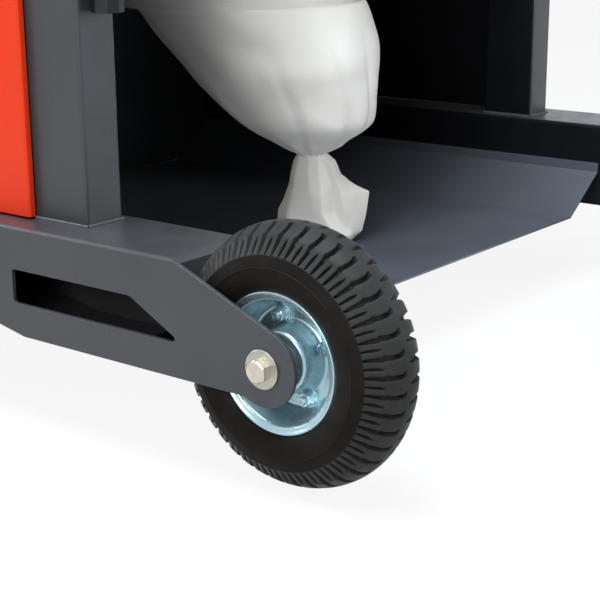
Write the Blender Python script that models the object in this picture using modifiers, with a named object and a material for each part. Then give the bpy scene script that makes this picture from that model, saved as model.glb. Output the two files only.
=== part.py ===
# Walk-behind vacuum sweeper on two block-tread rear wheels and two swivel casters.
# Blender 4.5, metres, +Z up. The machine drives towards -Y and its left side is +X.
# Lengths along the machine are given as a distance ahead of the rear axle, see ahead().
import math

import bmesh
import bpy
from mathutils import Matrix, Quaternion, Vector

mm = 0.001
gap = 0.3 * mm  # between pieces that touch
running = 0.3 * mm  # between a shaft and its faceted bore

# rear wheel
tyre_radius = 125.2 * mm
tyre_half_width = 40 * mm
tread_half_width = 24.5 * mm
tread_drop = 9 * mm
groove_half_width = 4 * mm
block_height = 6.5 * mm
blocks_per_row = 42
rim_radius = 67 * mm
rim_half_width = 33.9 * mm
rim_curl = 1.8 * mm
rim_sheet = 2.4 * mm
rim_bore = 17 * mm
stud_circle_radius = 40.2 * mm
nut_across_flats = 13 * mm
hub_bore = 8.3 * mm
axle_radius = 8 * mm
axle_head_flats = 21 * mm
axle_head_height = 8.5 * mm
washer_radius = 18.3 * mm
washer_thickness = 2.2 * mm

# side rails: bent channels that carry the rear wheels between their two walls
machine_half_width = 512 * mm
rail_width = 107 * mm
rail_wall = 4.5 * mm
rail_bend = 5 * mm
rail_top = 210 * mm
rail_rear_bottom = 95 * mm
rail_front_bottom = 135 * mm
rail_slope_start = 317 * mm
rail_slope = math.radians(10.8)
rail_length = 1150 * mm
rail_plate_end = 110 * mm
arm_end_radius = 36.2 * mm
wheel_plane_from_outside = 50.3 * mm
window_tip = 96.5 * mm
window_front = 330 * mm
window_bottom = 129.5 * mm
window_top = 165 * mm
window_slant = math.radians(28)
window_corner = 3 * mm
floor_plate_start = 205 * mm
floor_plate = 4 * mm

# folded tray between the rails
tray_clear_of_broom = 20 * mm
tray_rear = 136 * mm
tray_floor_height = 92 * mm
tray_floor_half_width = 327 * mm
tray_edge_height = 142 * mm
tray_lip = 14 * mm
tray_sheet = 2.5 * mm

# posts, upper frame and skins
post_width = 50 * mm
post_depth = 80 * mm
post_wall = 4 * mm
post_from_outside = 40.5 * mm
rear_post_rear = 258 * mm
upper_frame_bottom = 640 * mm
upper_tube = 40 * mm
panel_depth = 10 * mm
panel_sheet = 1.6 * mm
panel_rim = 8 * mm
panel_overlap = 6 * mm
panel_reach = 14 * mm
bulkhead_top = 430 * mm
bulkhead_sheet = 2.5 * mm
deck_height = 300 * mm
deck_sheet = 3 * mm
battery_size = (240 * mm, 170 * mm, 220 * mm)
battery_from_post = 100 * mm
lid_start = 765 * mm
lid_height = 70 * mm
lid_sheet = 2.5 * mm
lid_pin_radius = 5 * mm

# hopper, motor head and bag
hopper_ahead = 478 * mm
hopper_radius = 175 * mm
hopper_sheet = 2 * mm
hopper_flange = 16 * mm
latch_pin_radius = 4 * mm
hopper_top = 700 * mm
cone_top = 560 * mm
cone_bottom = 470 * mm
collar_radius = 155 * mm
collar_length = 55 * mm
filter_radius = 110 * mm
filter_length = 130 * mm
inlet_radius = 40 * mm
inlet_height = 625 * mm
inlet_length = 45 * mm
duct_ahead = 70 * mm
duct_bend = 95 * mm
stub_height = 11 * mm
bag_radius = 165 * mm
bag_tie_ahead = 342 * mm
bag_tie_height = 208 * mm
tie_half = 4 * mm
bag_neck_radius = 15 * mm
tail_radius = 62 * mm
head_height = 190 * mm

# broom
broom_from_front = 110 * mm
broom_radius = 130 * mm
broom_lift = 1.5 * mm
core_radius = 35 * mm
shaft_radius = 12 * mm
housing_side_gap = 35 * mm
housing_sheet = 3 * mm
housing_clearance = 22 * mm
housing_top = 286 * mm
skirt_bottom = 12 * mm
housing_bottom = 42 * mm
pivot_behind_broom = 115 * mm
pivot_height = 245 * mm
torsion_radius = 14 * mm
arm_sheet = 6 * mm

# casters
caster_from_front = 90 * mm
caster_radius = 50 * mm
caster_width = 32 * mm
caster_trail = 32 * mm
caster_plate_size = (95 * mm, 85 * mm, 3.3 * mm)

# handle and controls
handle_radius = 16 * mm
handle_foot = 420 * mm
handle_knee = 690 * mm
handle_height = 985 * mm
handle_behind = 50 * mm
handle_bend = 85 * mm
grip_radius = 20 * mm
grip_length = 125 * mm
control_size = (220 * mm, 95 * mm, 70 * mm)
stop_stem_radius = 8 * mm
stop_travel = 4 * mm
lever_from_post = 90 * mm
lever_length = 190 * mm

# places that follow from the sizes above
broom_height = broom_radius + broom_lift
broom_ahead = rail_length - broom_from_front
pivot_ahead = broom_ahead - pivot_behind_broom
caster_ahead = rail_length - caster_from_front
tray_front = broom_ahead - broom_radius - tray_clear_of_broom
front_reach = broom_ahead + broom_radius + housing_clearance + housing_sheet
axle_y = (front_reach - tyre_radius) / 2
rail_x = machine_half_width - rail_width / 2
wheel_x = machine_half_width - wheel_plane_from_outside
rail_inside = machine_half_width - rail_width
post_x = machine_half_width - post_from_outside - post_width / 2
post_outside = post_x + post_width / 2
post_inside = post_x - post_width / 2
upper_frame_top = upper_frame_bottom + upper_tube
axle_height = tyre_radius
housing_half_width = rail_inside - housing_side_gap
shaft_half_length = housing_half_width - housing_sheet - 10 * mm
broom_half_length = shaft_half_length - arm_sheet - 11 * mm
latch_pivot_height = hopper_top + 8 * mm
lever_x = lever_from_post - post_inside
lever_pivot_height = upper_frame_bottom + 0.6 * upper_tube


def ahead(distance):
    return axle_y - distance


for old in list(bpy.data.objects):
    bpy.data.objects.remove(old, do_unlink=True)
parts = bpy.data.collections.new("walk_behind_sweeper")
cutters = bpy.data.collections.new("cutters")
bpy.context.scene.collection.children.link(parts)
bpy.context.scene.collection.children.link(cutters)


def paint(name, colour, roughness, metallic=0.0):
    material = bpy.data.materials.new(name)
    material.use_nodes = True
    shader = material.node_tree.nodes["Principled BSDF"]
    shader.inputs["Base Color"].default_value = (*colour, 1)
    shader.inputs["Roughness"].default_value = roughness
    shader.inputs["Metallic"].default_value = metallic
    return material


grey_coat = (0.085, 0.085, 0.092)
dark_coat = (0.012, 0.012, 0.014)
orange_coat = (0.9, 0.07, 0.02)
rubber = (0.018, 0.017, 0.016)
zinc = (0.52, 0.6, 0.66)
steel = (0.55, 0.52, 0.46)
plastic = (0.02, 0.02, 0.022)
film = (0.8, 0.8, 0.8)


def place(obj, material_colour, roughness=0.45, metallic=0.0, smooth=30):
    """Put a finished piece in the parts collection with a material of its own."""
    for holder in list(obj.users_collection):
        holder.objects.unlink(obj)
    parts.objects.link(obj)
    obj.data.materials.clear()
    obj.data.materials.append(paint(obj.name, material_colour, roughness, metallic))
    if obj.type == "MESH":
        obj.data.shade_smooth()
        obj.data.set_sharp_from_angle(angle=math.radians(smooth))
    return obj


def tool(obj):
    """Put a cutter or a joined shape in the hidden collection."""
    for holder in list(obj.users_collection):
        holder.objects.unlink(obj)
    cutters.objects.link(obj)
    obj.hide_render = True
    obj.display_type = "WIRE"
    return obj


def from_bmesh(name, bm):
    bmesh.ops.recalc_face_normals(bm, faces=bm.faces)
    mesh = bpy.data.meshes.new(name)
    bm.to_mesh(mesh)
    bm.free()
    obj = bpy.data.objects.new(name, mesh)
    bpy.context.scene.collection.objects.link(obj)
    return obj


def boolean(obj, other, operation="DIFFERENCE"):
    modifier = obj.modifiers.new(operation.lower(), "BOOLEAN")
    modifier.operation = operation
    modifier.solver = "EXACT"
    modifier.object = tool(other)
    return obj


def bevelled(obj, width, segments=2, angle=30):
    if width > 0:
        modifier = obj.modifiers.new("edge", "BEVEL")
        modifier.width = width
        modifier.segments = segments
        modifier.limit_method = "ANGLE"
        modifier.angle_limit = math.radians(angle)
    return obj


def block(name, low, high, edge=0.0, segments=2):
    """A box between two corners, given in any order."""
    a = Vector(map(min, zip(low, high)))
    b = Vector(map(max, zip(low, high)))
    bm = bmesh.new()
    bmesh.ops.create_cube(bm, size=1)
    bmesh.ops.scale(bm, vec=b - a, verts=bm.verts)
    obj = from_bmesh(name, bm)
    obj.location = (a + b) / 2
    return bevelled(obj, edge, segments)


def turn_to(obj, axis):
    """Turn a shape made along Z so that it runs along the given direction."""
    obj.rotation_mode = "QUATERNION"
    obj.rotation_quaternion = Vector((0, 0, 1)).rotation_difference(Vector(axis))
    return obj


def drum(name, radius, length, centre, axis=(1, 0, 0), sides=24, top_radius=None, edge=0.0):
    bm = bmesh.new()
    bmesh.ops.create_cone(
        bm,
        cap_ends=True,
        segments=sides,
        radius1=radius,
        radius2=radius if top_radius is None else top_radius,
        depth=length,
    )
    obj = from_bmesh(name, bm)
    obj.location = centre
    turn_to(obj, axis)
    return bevelled(obj, edge, 1, 40)


def turned(name, profile, centre, axis=(0, 0, 1), steps=32, closed=True, wall=0.0):
    """Revolve (radius, height) points, which run down the outer side, about an axis.

    A closed profile makes a ring or, where it meets the axis, a solid. An open one is a
    sheet that gets its wall on the inside.
    """
    bm = bmesh.new()
    points = [bm.verts.new((radius, 0, height)) for radius, height in profile]
    pairs = list(zip(points, points[1:]))
    if closed and min(radius for radius, _ in profile) > 1e-6:
        pairs.append((points[-1], points[0]))
    for start, end in pairs:
        bm.edges.new((start, end))
    mesh = bpy.data.meshes.new(name)
    bm.to_mesh(mesh)
    bm.free()
    obj = bpy.data.objects.new(name, mesh)
    bpy.context.scene.collection.objects.link(obj)
    screw = obj.modifiers.new("turn", "SCREW")
    screw.axis = "Z"
    screw.steps = screw.render_steps = steps
    screw.use_merge_vertices = True
    screw.merge_threshold = 0.00002
    screw.use_smooth_shade = False
    if wall:
        solid = obj.modifiers.new("wall", "SOLIDIFY")
        solid.thickness = wall
        solid.offset = -1
    obj.location = centre
    return turn_to(obj, axis)


def prism(name, outline, low, high, plane="YZ", edge=0.0, segments=2):
    """Extrude a flat outline: (y, z) points along X, (x, z) along Y or (x, y) along Z."""
    bm = bmesh.new()
    place_point = {
        "YZ": lambda u, v: (low, u, v),
        "XZ": lambda u, v: (u, low, v),
        "XY": lambda u, v: (u, v, low),
    }[plane]
    direction = {"YZ": (1, 0, 0), "XZ": (0, 1, 0), "XY": (0, 0, 1)}[plane]
    face = bm.faces.new([bm.verts.new(place_point(u, v)) for u, v in outline])
    grown = bmesh.ops.extrude_face_region(bm, geom=[face])["geom"]
    moved = [item for item in grown if isinstance(item, bmesh.types.BMVert)]
    bmesh.ops.translate(bm, vec=Vector(direction) * (high - low), verts=moved)
    return bevelled(from_bmesh(name, bm), edge, segments)


def arc(centre, radius, start, end, steps):
    """Points on a circle between two angles in degrees."""
    angles = [math.radians(start + (end - start) * i / steps) for i in range(steps + 1)]
    return [(centre[0] + radius * math.cos(a), centre[1] + radius * math.sin(a)) for a in angles]


def rounded(corners, radius, steps=3):
    """A polygon whose corners are replaced by arcs."""
    outline = []
    count = len(corners)
    for i, corner in enumerate(corners):
        here = Vector(corner)
        back = (Vector(corners[i - 1]) - here).normalized()
        onward = (Vector(corners[(i + 1) % count]) - here).normalized()
        half = back.angle(onward) / 2
        reach = radius / math.tan(half)
        centre = here + (back + onward).normalized() * radius / math.sin(half)
        first = here + back * reach - centre
        swing = (here + onward * reach - centre).angle_signed(first)
        for step in range(steps + 1):
            outline.append(tuple(centre + Matrix.Rotation(swing * step / steps, 2) @ first))
    return outline


def bent_line(corners, radius, steps=6):
    """A line through 3-D corners, each rounded to a radius as a bent tube is."""
    corners = [Vector(corner) for corner in corners]
    line = [corners[0]]
    for before, here, after in zip(corners, corners[1:], corners[2:]):
        back = (before - here).normalized()
        onward = (after - here).normalized()
        half = back.angle(onward) / 2
        centre = here + (back + onward).normalized() * radius / math.sin(half)
        first = here + back * radius / math.tan(half) - centre
        last = here + onward * radius / math.tan(half) - centre
        swing = first.rotation_difference(last)
        for i in range(steps + 1):
            line.append(centre + Quaternion(swing.axis, swing.angle * i / steps) @ first)
    return [*line, corners[-1]]


def tube(name, points, radius, resolution=2):
    curve = bpy.data.curves.new(name, "CURVE")
    curve.dimensions = "3D"
    curve.bevel_depth = radius
    curve.bevel_resolution = resolution
    curve.use_fill_caps = True
    spline = curve.splines.new("POLY")
    spline.points.add(len(points) - 1)
    for point, co in zip(spline.points, points):
        point.co = (*co, 1)
    obj = bpy.data.objects.new(name, curve)
    bpy.context.scene.collection.objects.link(obj)
    return obj


def round_clear_of(radius, sides):
    """Radius of a faceted ring of that many sides that clears a round piece inside it."""
    return (radius + gap) / math.cos(math.pi / sides)


def bent_channel(name, x, width, top, bottom, wall, bend, silhouette):
    """An inverted U of bent plate along Y, trimmed to a (y, z) silhouette."""
    half = width / 2
    outside = [
        (x - half, bottom),
        *arc((x - half + bend, top - bend), bend, 180, 90, 3),
        *arc((x + half - bend, top - bend), bend, 90, 0, 3),
        (x + half, bottom),
    ]
    inner_bend = max(bend - wall, 0.5 * mm)
    inner = half - wall
    inside = [
        (x + inner, bottom),
        *arc((x + inner - inner_bend, top - wall - inner_bend), inner_bend, 0, 90, 2),
        *arc((x - inner + inner_bend, top - wall - inner_bend), inner_bend, 90, 180, 2),
        (x - inner, bottom),
    ]
    lengths = [y for y, _ in silhouette]
    channel = prism(name, outside + inside, min(lengths) - 0.01, max(lengths) + 0.01, "XZ")
    side = prism(name + "_side", silhouette, x - width, x + width)
    return boolean(channel, side, "INTERSECT")


def rail_bottom_line(start):
    """(distance ahead, height) points of a rail's lower edge, from a start to the front."""
    rise = (rail_front_bottom - rail_rear_bottom) / math.tan(rail_slope)
    return [
        (start, rail_rear_bottom),
        (rail_slope_start, rail_rear_bottom),
        (rail_slope_start + rise, rail_front_bottom),
        (rail_length, rail_front_bottom),
    ]


def rail_silhouette():
    """Side view of a rail: straight top, a wheel arm sloping to a round end, raised front."""
    corner = Vector((rail_plate_end, rail_top - axle_height))
    lean = math.atan2(corner.y, corner.x)
    touch = math.degrees(lean + math.acos(arm_end_radius / corner.length))
    below = math.degrees(math.asin((axle_height - rail_rear_bottom) / arm_end_radius))
    outline = [(rail_length, rail_top), (rail_plate_end, rail_top)]
    outline += arc((0, axle_height), arm_end_radius, touch, 360 - below, 12)
    outline += rail_bottom_line(arm_end_radius)[1:]
    return [(ahead(distance), height) for distance, height in outline]


def window_outline():
    """The long hole in a rail's outer wall, pointed towards the wheel."""
    slant = (window_top - window_bottom) / math.tan(window_slant)
    corners = [
        (window_tip, window_bottom),
        (window_tip + slant, window_top),
        (window_front, window_top),
        (window_front, window_bottom),
    ]
    return rounded([(ahead(distance), height) for distance, height in corners], window_corner)


def side_rail(side, word):
    x = side * rail_x
    rail = bent_channel(
        "rail_" + word,
        x,
        rail_width,
        rail_top,
        axle_height - arm_end_radius - 10 * mm,
        rail_wall,
        rail_bend,
        rail_silhouette(),
    )
    boolean(rail, prism("window_" + word, window_outline(), x, x + side * rail_width))
    boolean(rail, rail_floor(side, word), "UNION")
    axle = (x, ahead(0), axle_height)
    hole = drum("axle_hole_" + word, axle_radius + running, 2 * rail_width, axle)
    place(boolean(rail, hole), grey_coat, 0.42, 0.3)


def rail_floor(side, word):
    """The welded plate that closes the channel from below, ahead of the wheel."""
    line = rail_bottom_line(floor_plate_start)
    lower = [(ahead(d), h) for d, h in line]
    upper = [(ahead(d), h + floor_plate) for d, h in reversed(line)]
    reach = rail_width / 2 - rail_wall / 2
    x = side * rail_x
    return prism("rail_floor_" + word, lower + upper, x - reach, x + reach)


def tyre(side, word):
    """A solid block-tread tyre: a ring of quads whose tread faces are pulled out as blocks.

    Columns alternate between block and groove. Rings of the section run from the crown
    over the shoulder and down to the rim, on each half.
    """
    floor_radius = tyre_radius - block_height
    half = [
        (floor_radius, groove_half_width),
        (floor_radius - 0.3 * tread_drop, 0.6 * tread_half_width),
        (floor_radius - tread_drop, tread_half_width),
        (100 * mm, tyre_half_width - 5 * mm),
        (84 * mm, tyre_half_width),
        (rim_radius, rim_half_width - rim_curl - gap),
        (52.5 * mm, 17 * mm),
    ]
    section = half + [(radius, -offset) for radius, offset in reversed(half)]
    pitch = 2 * math.pi / blocks_per_row
    stagger = 0.25 * pitch  # one row of blocks is turned half a pitch against the other
    bm = bmesh.new()
    columns = []
    for index in range(blocks_per_row):
        for share in (0.0, 0.76):
            column = []
            for radius, offset in section:
                angle = (index + share) * pitch + math.copysign(stagger, offset)
                column.append(
                    bm.verts.new((radius * math.cos(angle), radius * math.sin(angle), offset))
                )
            columns.append(column)
    blocks = []
    rings = len(section)
    for i, column in enumerate(columns):
        following = columns[(i + 1) % len(columns)]
        for j in range(rings):
            k = (j + 1) % rings
            face = bm.faces.new((column[j], column[k], following[k], following[j]))
            if i % 2 == 0 and j in (0, 1, 2, rings - 4, rings - 3, rings - 2):
                blocks.append(face)
    bm.normal_update()
    grown = bmesh.ops.extrude_face_region(bm, geom=blocks)["geom"]
    for item in grown:
        if isinstance(item, bmesh.types.BMVert):
            radius = math.hypot(item.co.x, item.co.y)
            out = Vector((item.co.x / radius, item.co.y / radius, 0))
            if abs(item.co.z) > tread_half_width + mm:
                item.co += out * 1.2 * mm + Vector((0, 0, math.copysign(1.6 * mm, item.co.z)))
            else:
                item.co += out * block_height
    bmesh.ops.delete(bm, geom=blocks, context="FACES_ONLY")
    obj = from_bmesh("tyre_" + word, bm)
    obj.location = (side * wheel_x, ahead(0), axle_height)
    turn_to(obj, (side, 0, 0))
    place(obj, rubber, 0.8)


def rim_path():
    """(radius, offset from the wheel's middle plane) along the face of a pressed rim half."""
    lip = rim_half_width
    return [
        (rim_radius, lip - rim_curl),
        (rim_radius - 2.4 * mm, lip),
        (rim_radius - 5.4 * mm, lip - 2.3 * mm),
        (50.6 * mm, lip - 12.5 * mm),
        (48.6 * mm, 8 * mm),
        (46 * mm, rim_sheet + gap / 2),
        (34.5 * mm, rim_sheet + gap / 2),
        (33 * mm, lip - 25.2 * mm),
        (rim_bore, lip - 25.2 * mm),
    ]


def rear_wheel(side, word):
    centre = Vector((side * wheel_x, ahead(0), axle_height))
    out = Vector((side, 0, 0))
    tyre(side, word)
    face = rim_path()
    outer = turned("rim_outer_" + word, face, centre, out, 24, closed=False, wall=rim_sheet)
    for index in range(4):
        angle = math.radians(22 + 90 * index)
        at = centre + Vector((0, math.cos(angle), math.sin(angle))) * stud_circle_radius
        seat = at + out * (rim_sheet + 3.2 * mm)
        nut = drum(f"nut_{word}_{index}", nut_across_flats / math.sqrt(3), 7 * mm, seat, out, 6)
        stud_at = at + out * (rim_sheet + 4.5 * mm)
        stud = drum(f"stud_{word}_{index}", 3.9 * mm, 11 * mm, stud_at, out, 6)
        boolean(outer, nut, "UNION")
        boolean(outer, stud, "UNION")
    place(outer, zinc, 0.25, 1.0)
    inner = turned("rim_inner_" + word, face[2:], centre, -out, 20, closed=False, wall=rim_sheet)
    place(inner, zinc, 0.3, 1.0)
    hub_out = machine_half_width - rail_wall - running - wheel_x
    hub_in = wheel_x - (rail_inside + rail_wall) - running
    barrel = rim_bore - running
    profile = [
        (14 * mm, hub_out),
        (14 * mm, rim_half_width - 24 * mm),
        (barrel, rim_half_width - 24 * mm),
        (barrel, -rim_half_width + 24 * mm),
        (14 * mm, -rim_half_width + 24 * mm),
        (14 * mm, -hub_in),
        (hub_bore, -hub_in),
        (hub_bore, hub_out),
    ]
    place(turned("hub_" + word, profile, centre, out, 16), steel, 0.35, 1.0)
    outside = rail_width / 2 + gap
    bolt_centre = Vector((side * rail_x, ahead(0), axle_height))
    shank = rail_width + 34 * mm
    bolt = drum("axle_bolt_" + word, axle_radius, shank, bolt_centre - out * 5 * mm, out, 18)
    head = drum(
        "axle_head_" + word,
        axle_head_flats / math.sqrt(3),
        axle_head_height,
        bolt_centre + out * (outside + washer_thickness + axle_head_height / 2),
        out,
        6,
    )
    boolean(bolt, head, "UNION")
    for sign, name in ((1, "washer"), (-1, "inner_washer")):
        at = bolt_centre + out * sign * (outside + washer_thickness / 2)
        washer = drum(f"{name}_{word}", washer_radius, washer_thickness + 0.02 * mm, at, out, 20)
        boolean(bolt, washer, "UNION")
    nut_at = bolt_centre - out * (outside + washer_thickness + 6 * mm)
    nut = drum("axle_nut_" + word, 24 * mm / math.sqrt(3), 12 * mm, nut_at, out, 6)
    boolean(bolt, nut, "UNION")
    place(bolt, steel, 0.3, 1.0)


def tray():
    """Sheet folded up at both sides to meet the inner walls of the rails."""
    edge = rail_inside - gap
    t = tray_sheet
    low = [
        (-edge, tray_edge_height + tray_lip),
        (-edge, tray_edge_height),
        (-tray_floor_half_width, tray_floor_height - t),
        (tray_floor_half_width, tray_floor_height - t),
        (edge, tray_edge_height),
        (edge, tray_edge_height + tray_lip),
    ]
    high = [
        (edge - t, tray_edge_height + tray_lip),
        (edge - t, tray_edge_height + 0.5 * t),
        (tray_floor_half_width - 0.3 * t, tray_floor_height),
        (-tray_floor_half_width + 0.3 * t, tray_floor_height),
        (-edge + t, tray_edge_height + 0.5 * t),
        (-edge + t, tray_edge_height + tray_lip),
    ]
    place(prism("tray", low + high, ahead(tray_rear), ahead(tray_front), "XZ"), grey_coat, 0.5, 0.3)


def bulkhead():
    """Sheet across the machine between the bag bay and the broom; the duct passes over it."""
    edge = rail_inside - gap
    slope_edge = tray_floor_half_width
    low, high = ahead(tray_front + gap + bulkhead_sheet), ahead(tray_front + gap)
    outline = [
        (-slope_edge, tray_floor_height),
        (slope_edge, tray_floor_height),
        (edge, tray_edge_height),
        (edge, bulkhead_top),
        (-edge, bulkhead_top),
        (-edge, tray_edge_height),
    ]
    place(prism("bulkhead", outline, low, high, "XZ"), dark_coat, 0.5, 0.2)
    flap_low = 14 * mm
    front = low - gap
    flap = block(
        "rubber_flap",
        (-slope_edge, front - 4 * mm, flap_low),
        (slope_edge, front, tray_floor_height + 30 * mm),
    )
    place(flap, rubber, 0.8)


def square_tube(name, low, high, wall, axis, corner=5 * mm):
    """A rectangular tube, open at both ends, with rounded long edges."""
    low, high = Vector(low), Vector(high)
    others = [i for i in range(3) if i != axis]
    u, v = others
    def ring(inset, radius):
        a, b = low[u] + inset, high[u] - inset
        c, d = low[v] + inset, high[v] - inset
        return rounded([(a, c), (b, c), (b, d), (a, d)], radius, 2)
    plane = {0: "YZ", 1: "XZ", 2: "XY"}[axis]
    outer = prism(name, ring(0, corner), low[axis], high[axis], plane)
    bore = ring(wall, max(corner - wall, mm))
    inner = prism(name + "_inside", bore, low[axis] - 10 * mm, high[axis] + 10 * mm, plane)
    return boolean(outer, inner)


def frame_posts():
    for side, word in ((1, "left"), (-1, "right")):
        for name, rear in (("rear", rear_post_rear), ("front", rail_length - post_depth)):
            x0, x1 = sorted((side * (post_x - post_width / 2), side * (post_x + post_width / 2)))
            post = square_tube(
                f"post_{name}_{word}",
                (x0, ahead(rear + post_depth), rail_top + gap),
                (x1, ahead(rear), upper_frame_bottom - gap),
                post_wall,
                2,
            )
            place(post, grey_coat, 0.42, 0.3)
        upper = square_tube(
            "upper_side_" + word,
            (x0, ahead(rail_length), upper_frame_bottom),
            (x1, ahead(rear_post_rear), upper_frame_top),
            3 * mm,
            1,
        )
        place(upper, grey_coat, 0.42, 0.3)
    inside = post_inside - gap
    for name, rear in (("rear", rear_post_rear), ("front", rail_length - upper_tube)):
        cross = square_tube(
            "upper_cross_" + name,
            (-inside, ahead(rear + upper_tube), upper_frame_bottom),
            (inside, ahead(rear), upper_frame_top),
            3 * mm,
            0,
        )
        place(cross, grey_coat, 0.42, 0.3)
    return bpy.data.objects["upper_cross_rear"]


def skins():
    """Shallow pans of orange sheet: one each side and one in front."""
    bottom, top = rail_top + gap, upper_frame_top
    rear = ahead(rear_post_rear + post_depth - panel_overlap)
    front = ahead(rail_length + panel_reach)
    for side, word in ((1, "left"), (-1, "right")):
        inner, outer = side * (post_outside + gap), side * (post_outside + gap + panel_depth)
        low, high = (inner, rear, bottom), (outer, front, top)
        pan = block("side_panel_" + word, low, high, 2 * mm, 1)
        hollow = block(
            "side_hollow_" + word,
            (inner - side * mm, rear - panel_rim, bottom + panel_rim),
            (outer - side * panel_sheet, front + panel_rim, top - panel_rim),
        )
        place(boolean(pan, hollow), orange_coat, 0.35)
    edge = post_outside
    back = ahead(rail_length) - gap
    face = back - panel_depth
    floor = housing_top + 20 * mm
    pan = block("front_panel", (-edge, back, floor), (edge, face, top), 2 * mm, 1)
    hollow = block(
        "front_hollow",
        (-edge + panel_rim, back + 2 * mm, floor + panel_rim),
        (edge - panel_rim, face + panel_sheet, top - panel_rim),
    )
    place(boolean(pan, hollow), orange_coat, 0.35)


def battery_bay():
    edge = post_inside - gap
    rear = ahead(tray_front + 2 * gap + bulkhead_sheet)
    high = (edge, rear - gap, deck_height + deck_sheet)
    deck = block("battery_deck", (-edge, ahead(rail_length), deck_height), high)
    hole_at = (0, ahead(tray_front + duct_ahead), deck_height)
    hole = drum("deck_hole", inlet_radius + 8 * mm, 30 * mm, hole_at, (0, 0, 1), 28)
    place(boolean(deck, hole), grey_coat, 0.45, 0.3)
    width, depth, height = battery_size
    for side, word in ((1, "left"), (-1, "right")):
        x = side * (post_inside - battery_from_post - width / 2)
        y = ahead(rail_length - 30 * mm - depth / 2)
        z = deck_height + deck_sheet + gap
        case = block(
            "battery_" + word,
            (x - width / 2, y - depth / 2, z),
            (x + width / 2, y + depth / 2, z + height),
            3 * mm,
            1,
        )
        place(case, plastic, 0.5)


def hopper_group():
    centre = Vector((0, ahead(hopper_ahead), 0))
    deck_z = upper_frame_top + gap
    edge = post_outside
    low = (-edge, ahead(lid_start) + gap, deck_z)
    deck = block("hopper_deck", low, (edge, ahead(rear_post_rear), deck_z + deck_sheet))
    hole_at = (*centre.xy, deck_z)
    hole = drum("hopper_hole", round_clear_of(hopper_radius, 28), 50 * mm, hole_at, (0, 0, 1), 28)
    place(boolean(deck, hole), grey_coat, 0.45, 0.3)
    flange = deck_z + deck_sheet + gap
    profile = [
        (hopper_radius + hopper_flange, hopper_top),
        (hopper_radius + hopper_flange, flange),
        (hopper_radius, flange),
        (hopper_radius, cone_top),
        (collar_radius, cone_bottom),
        (collar_radius, cone_bottom - collar_length),
        (collar_radius - hopper_sheet, cone_bottom - collar_length),
        (collar_radius - hopper_sheet, cone_bottom),
        (hopper_radius - hopper_sheet, cone_top),
        (hopper_radius - hopper_sheet, hopper_top),
    ]
    hopper = turned("hopper", profile, centre, (0, 0, 1), 28)
    stub_from = centre.y - hopper_radius + 12 * mm
    stub_to = centre.y - hopper_radius - inlet_length
    stub_at = (0, (stub_from + stub_to) / 2, inlet_height)
    across = (0, 1, 0)
    length = stub_from - stub_to
    boolean(hopper, drum("inlet_wall", inlet_radius, length, stub_at, across, 20), "UNION")
    boolean(hopper, drum("inlet_bore", inlet_radius - hopper_sheet, 1.4 * length, stub_at, across, 20))
    place(hopper, grey_coat, 0.4, 0.3)

    head_low = hopper_top + gap
    head = [
        (0, head_low + head_height),
        (hopper_radius - 60 * mm, head_low + head_height),
        (hopper_radius - 35 * mm, head_low + head_height - 12 * mm),
        (hopper_radius - 20 * mm, head_low + head_height - 45 * mm),
        (hopper_radius - 12 * mm, head_low + 48 * mm),
        (hopper_radius + hopper_flange, head_low + 40 * mm),
        (hopper_radius + hopper_flange, head_low),
        (0, head_low),
    ]
    place(turned("motor_head", head, centre, (0, 0, 1), 28), dark_coat, 0.45)
    pleats = 24
    outline = []
    for i in range(2 * pleats):
        angle = math.pi * i / pleats
        radius = filter_radius - (12 * mm if i % 2 else 0)
        outline.append((centre.x + radius * math.cos(angle), centre.y + radius * math.sin(angle)))
    filter_top = hopper_top
    cartridge = prism("filter_cartridge", outline, filter_top - filter_length, filter_top, "XY")
    place(cartridge, film, 0.8)


def latches():
    """Over-centre latches that hook the motor head's rim down to the hopper flange."""
    for side, word in ((1, "left"), (-1, "right")):
        x = side * (hopper_radius + hopper_flange + gap)
        y = ahead(hopper_ahead)
        low = (x, y - 14 * mm, latch_pivot_height)
        high = (x + side * 4 * mm, y + 14 * mm, latch_pivot_height + 32 * mm)
        plate = block("latch_" + word, low, high, 1.2 * mm, 1)
        pivot = (x + side * latch_pin_radius, y, latch_pivot_height)
        tip = drum("latch_tip_" + word, latch_pin_radius, 28 * mm, pivot, (0, 1, 0), 12)
        place(boolean(plate, tip, "UNION"), steel, 0.3, 1.0)


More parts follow.
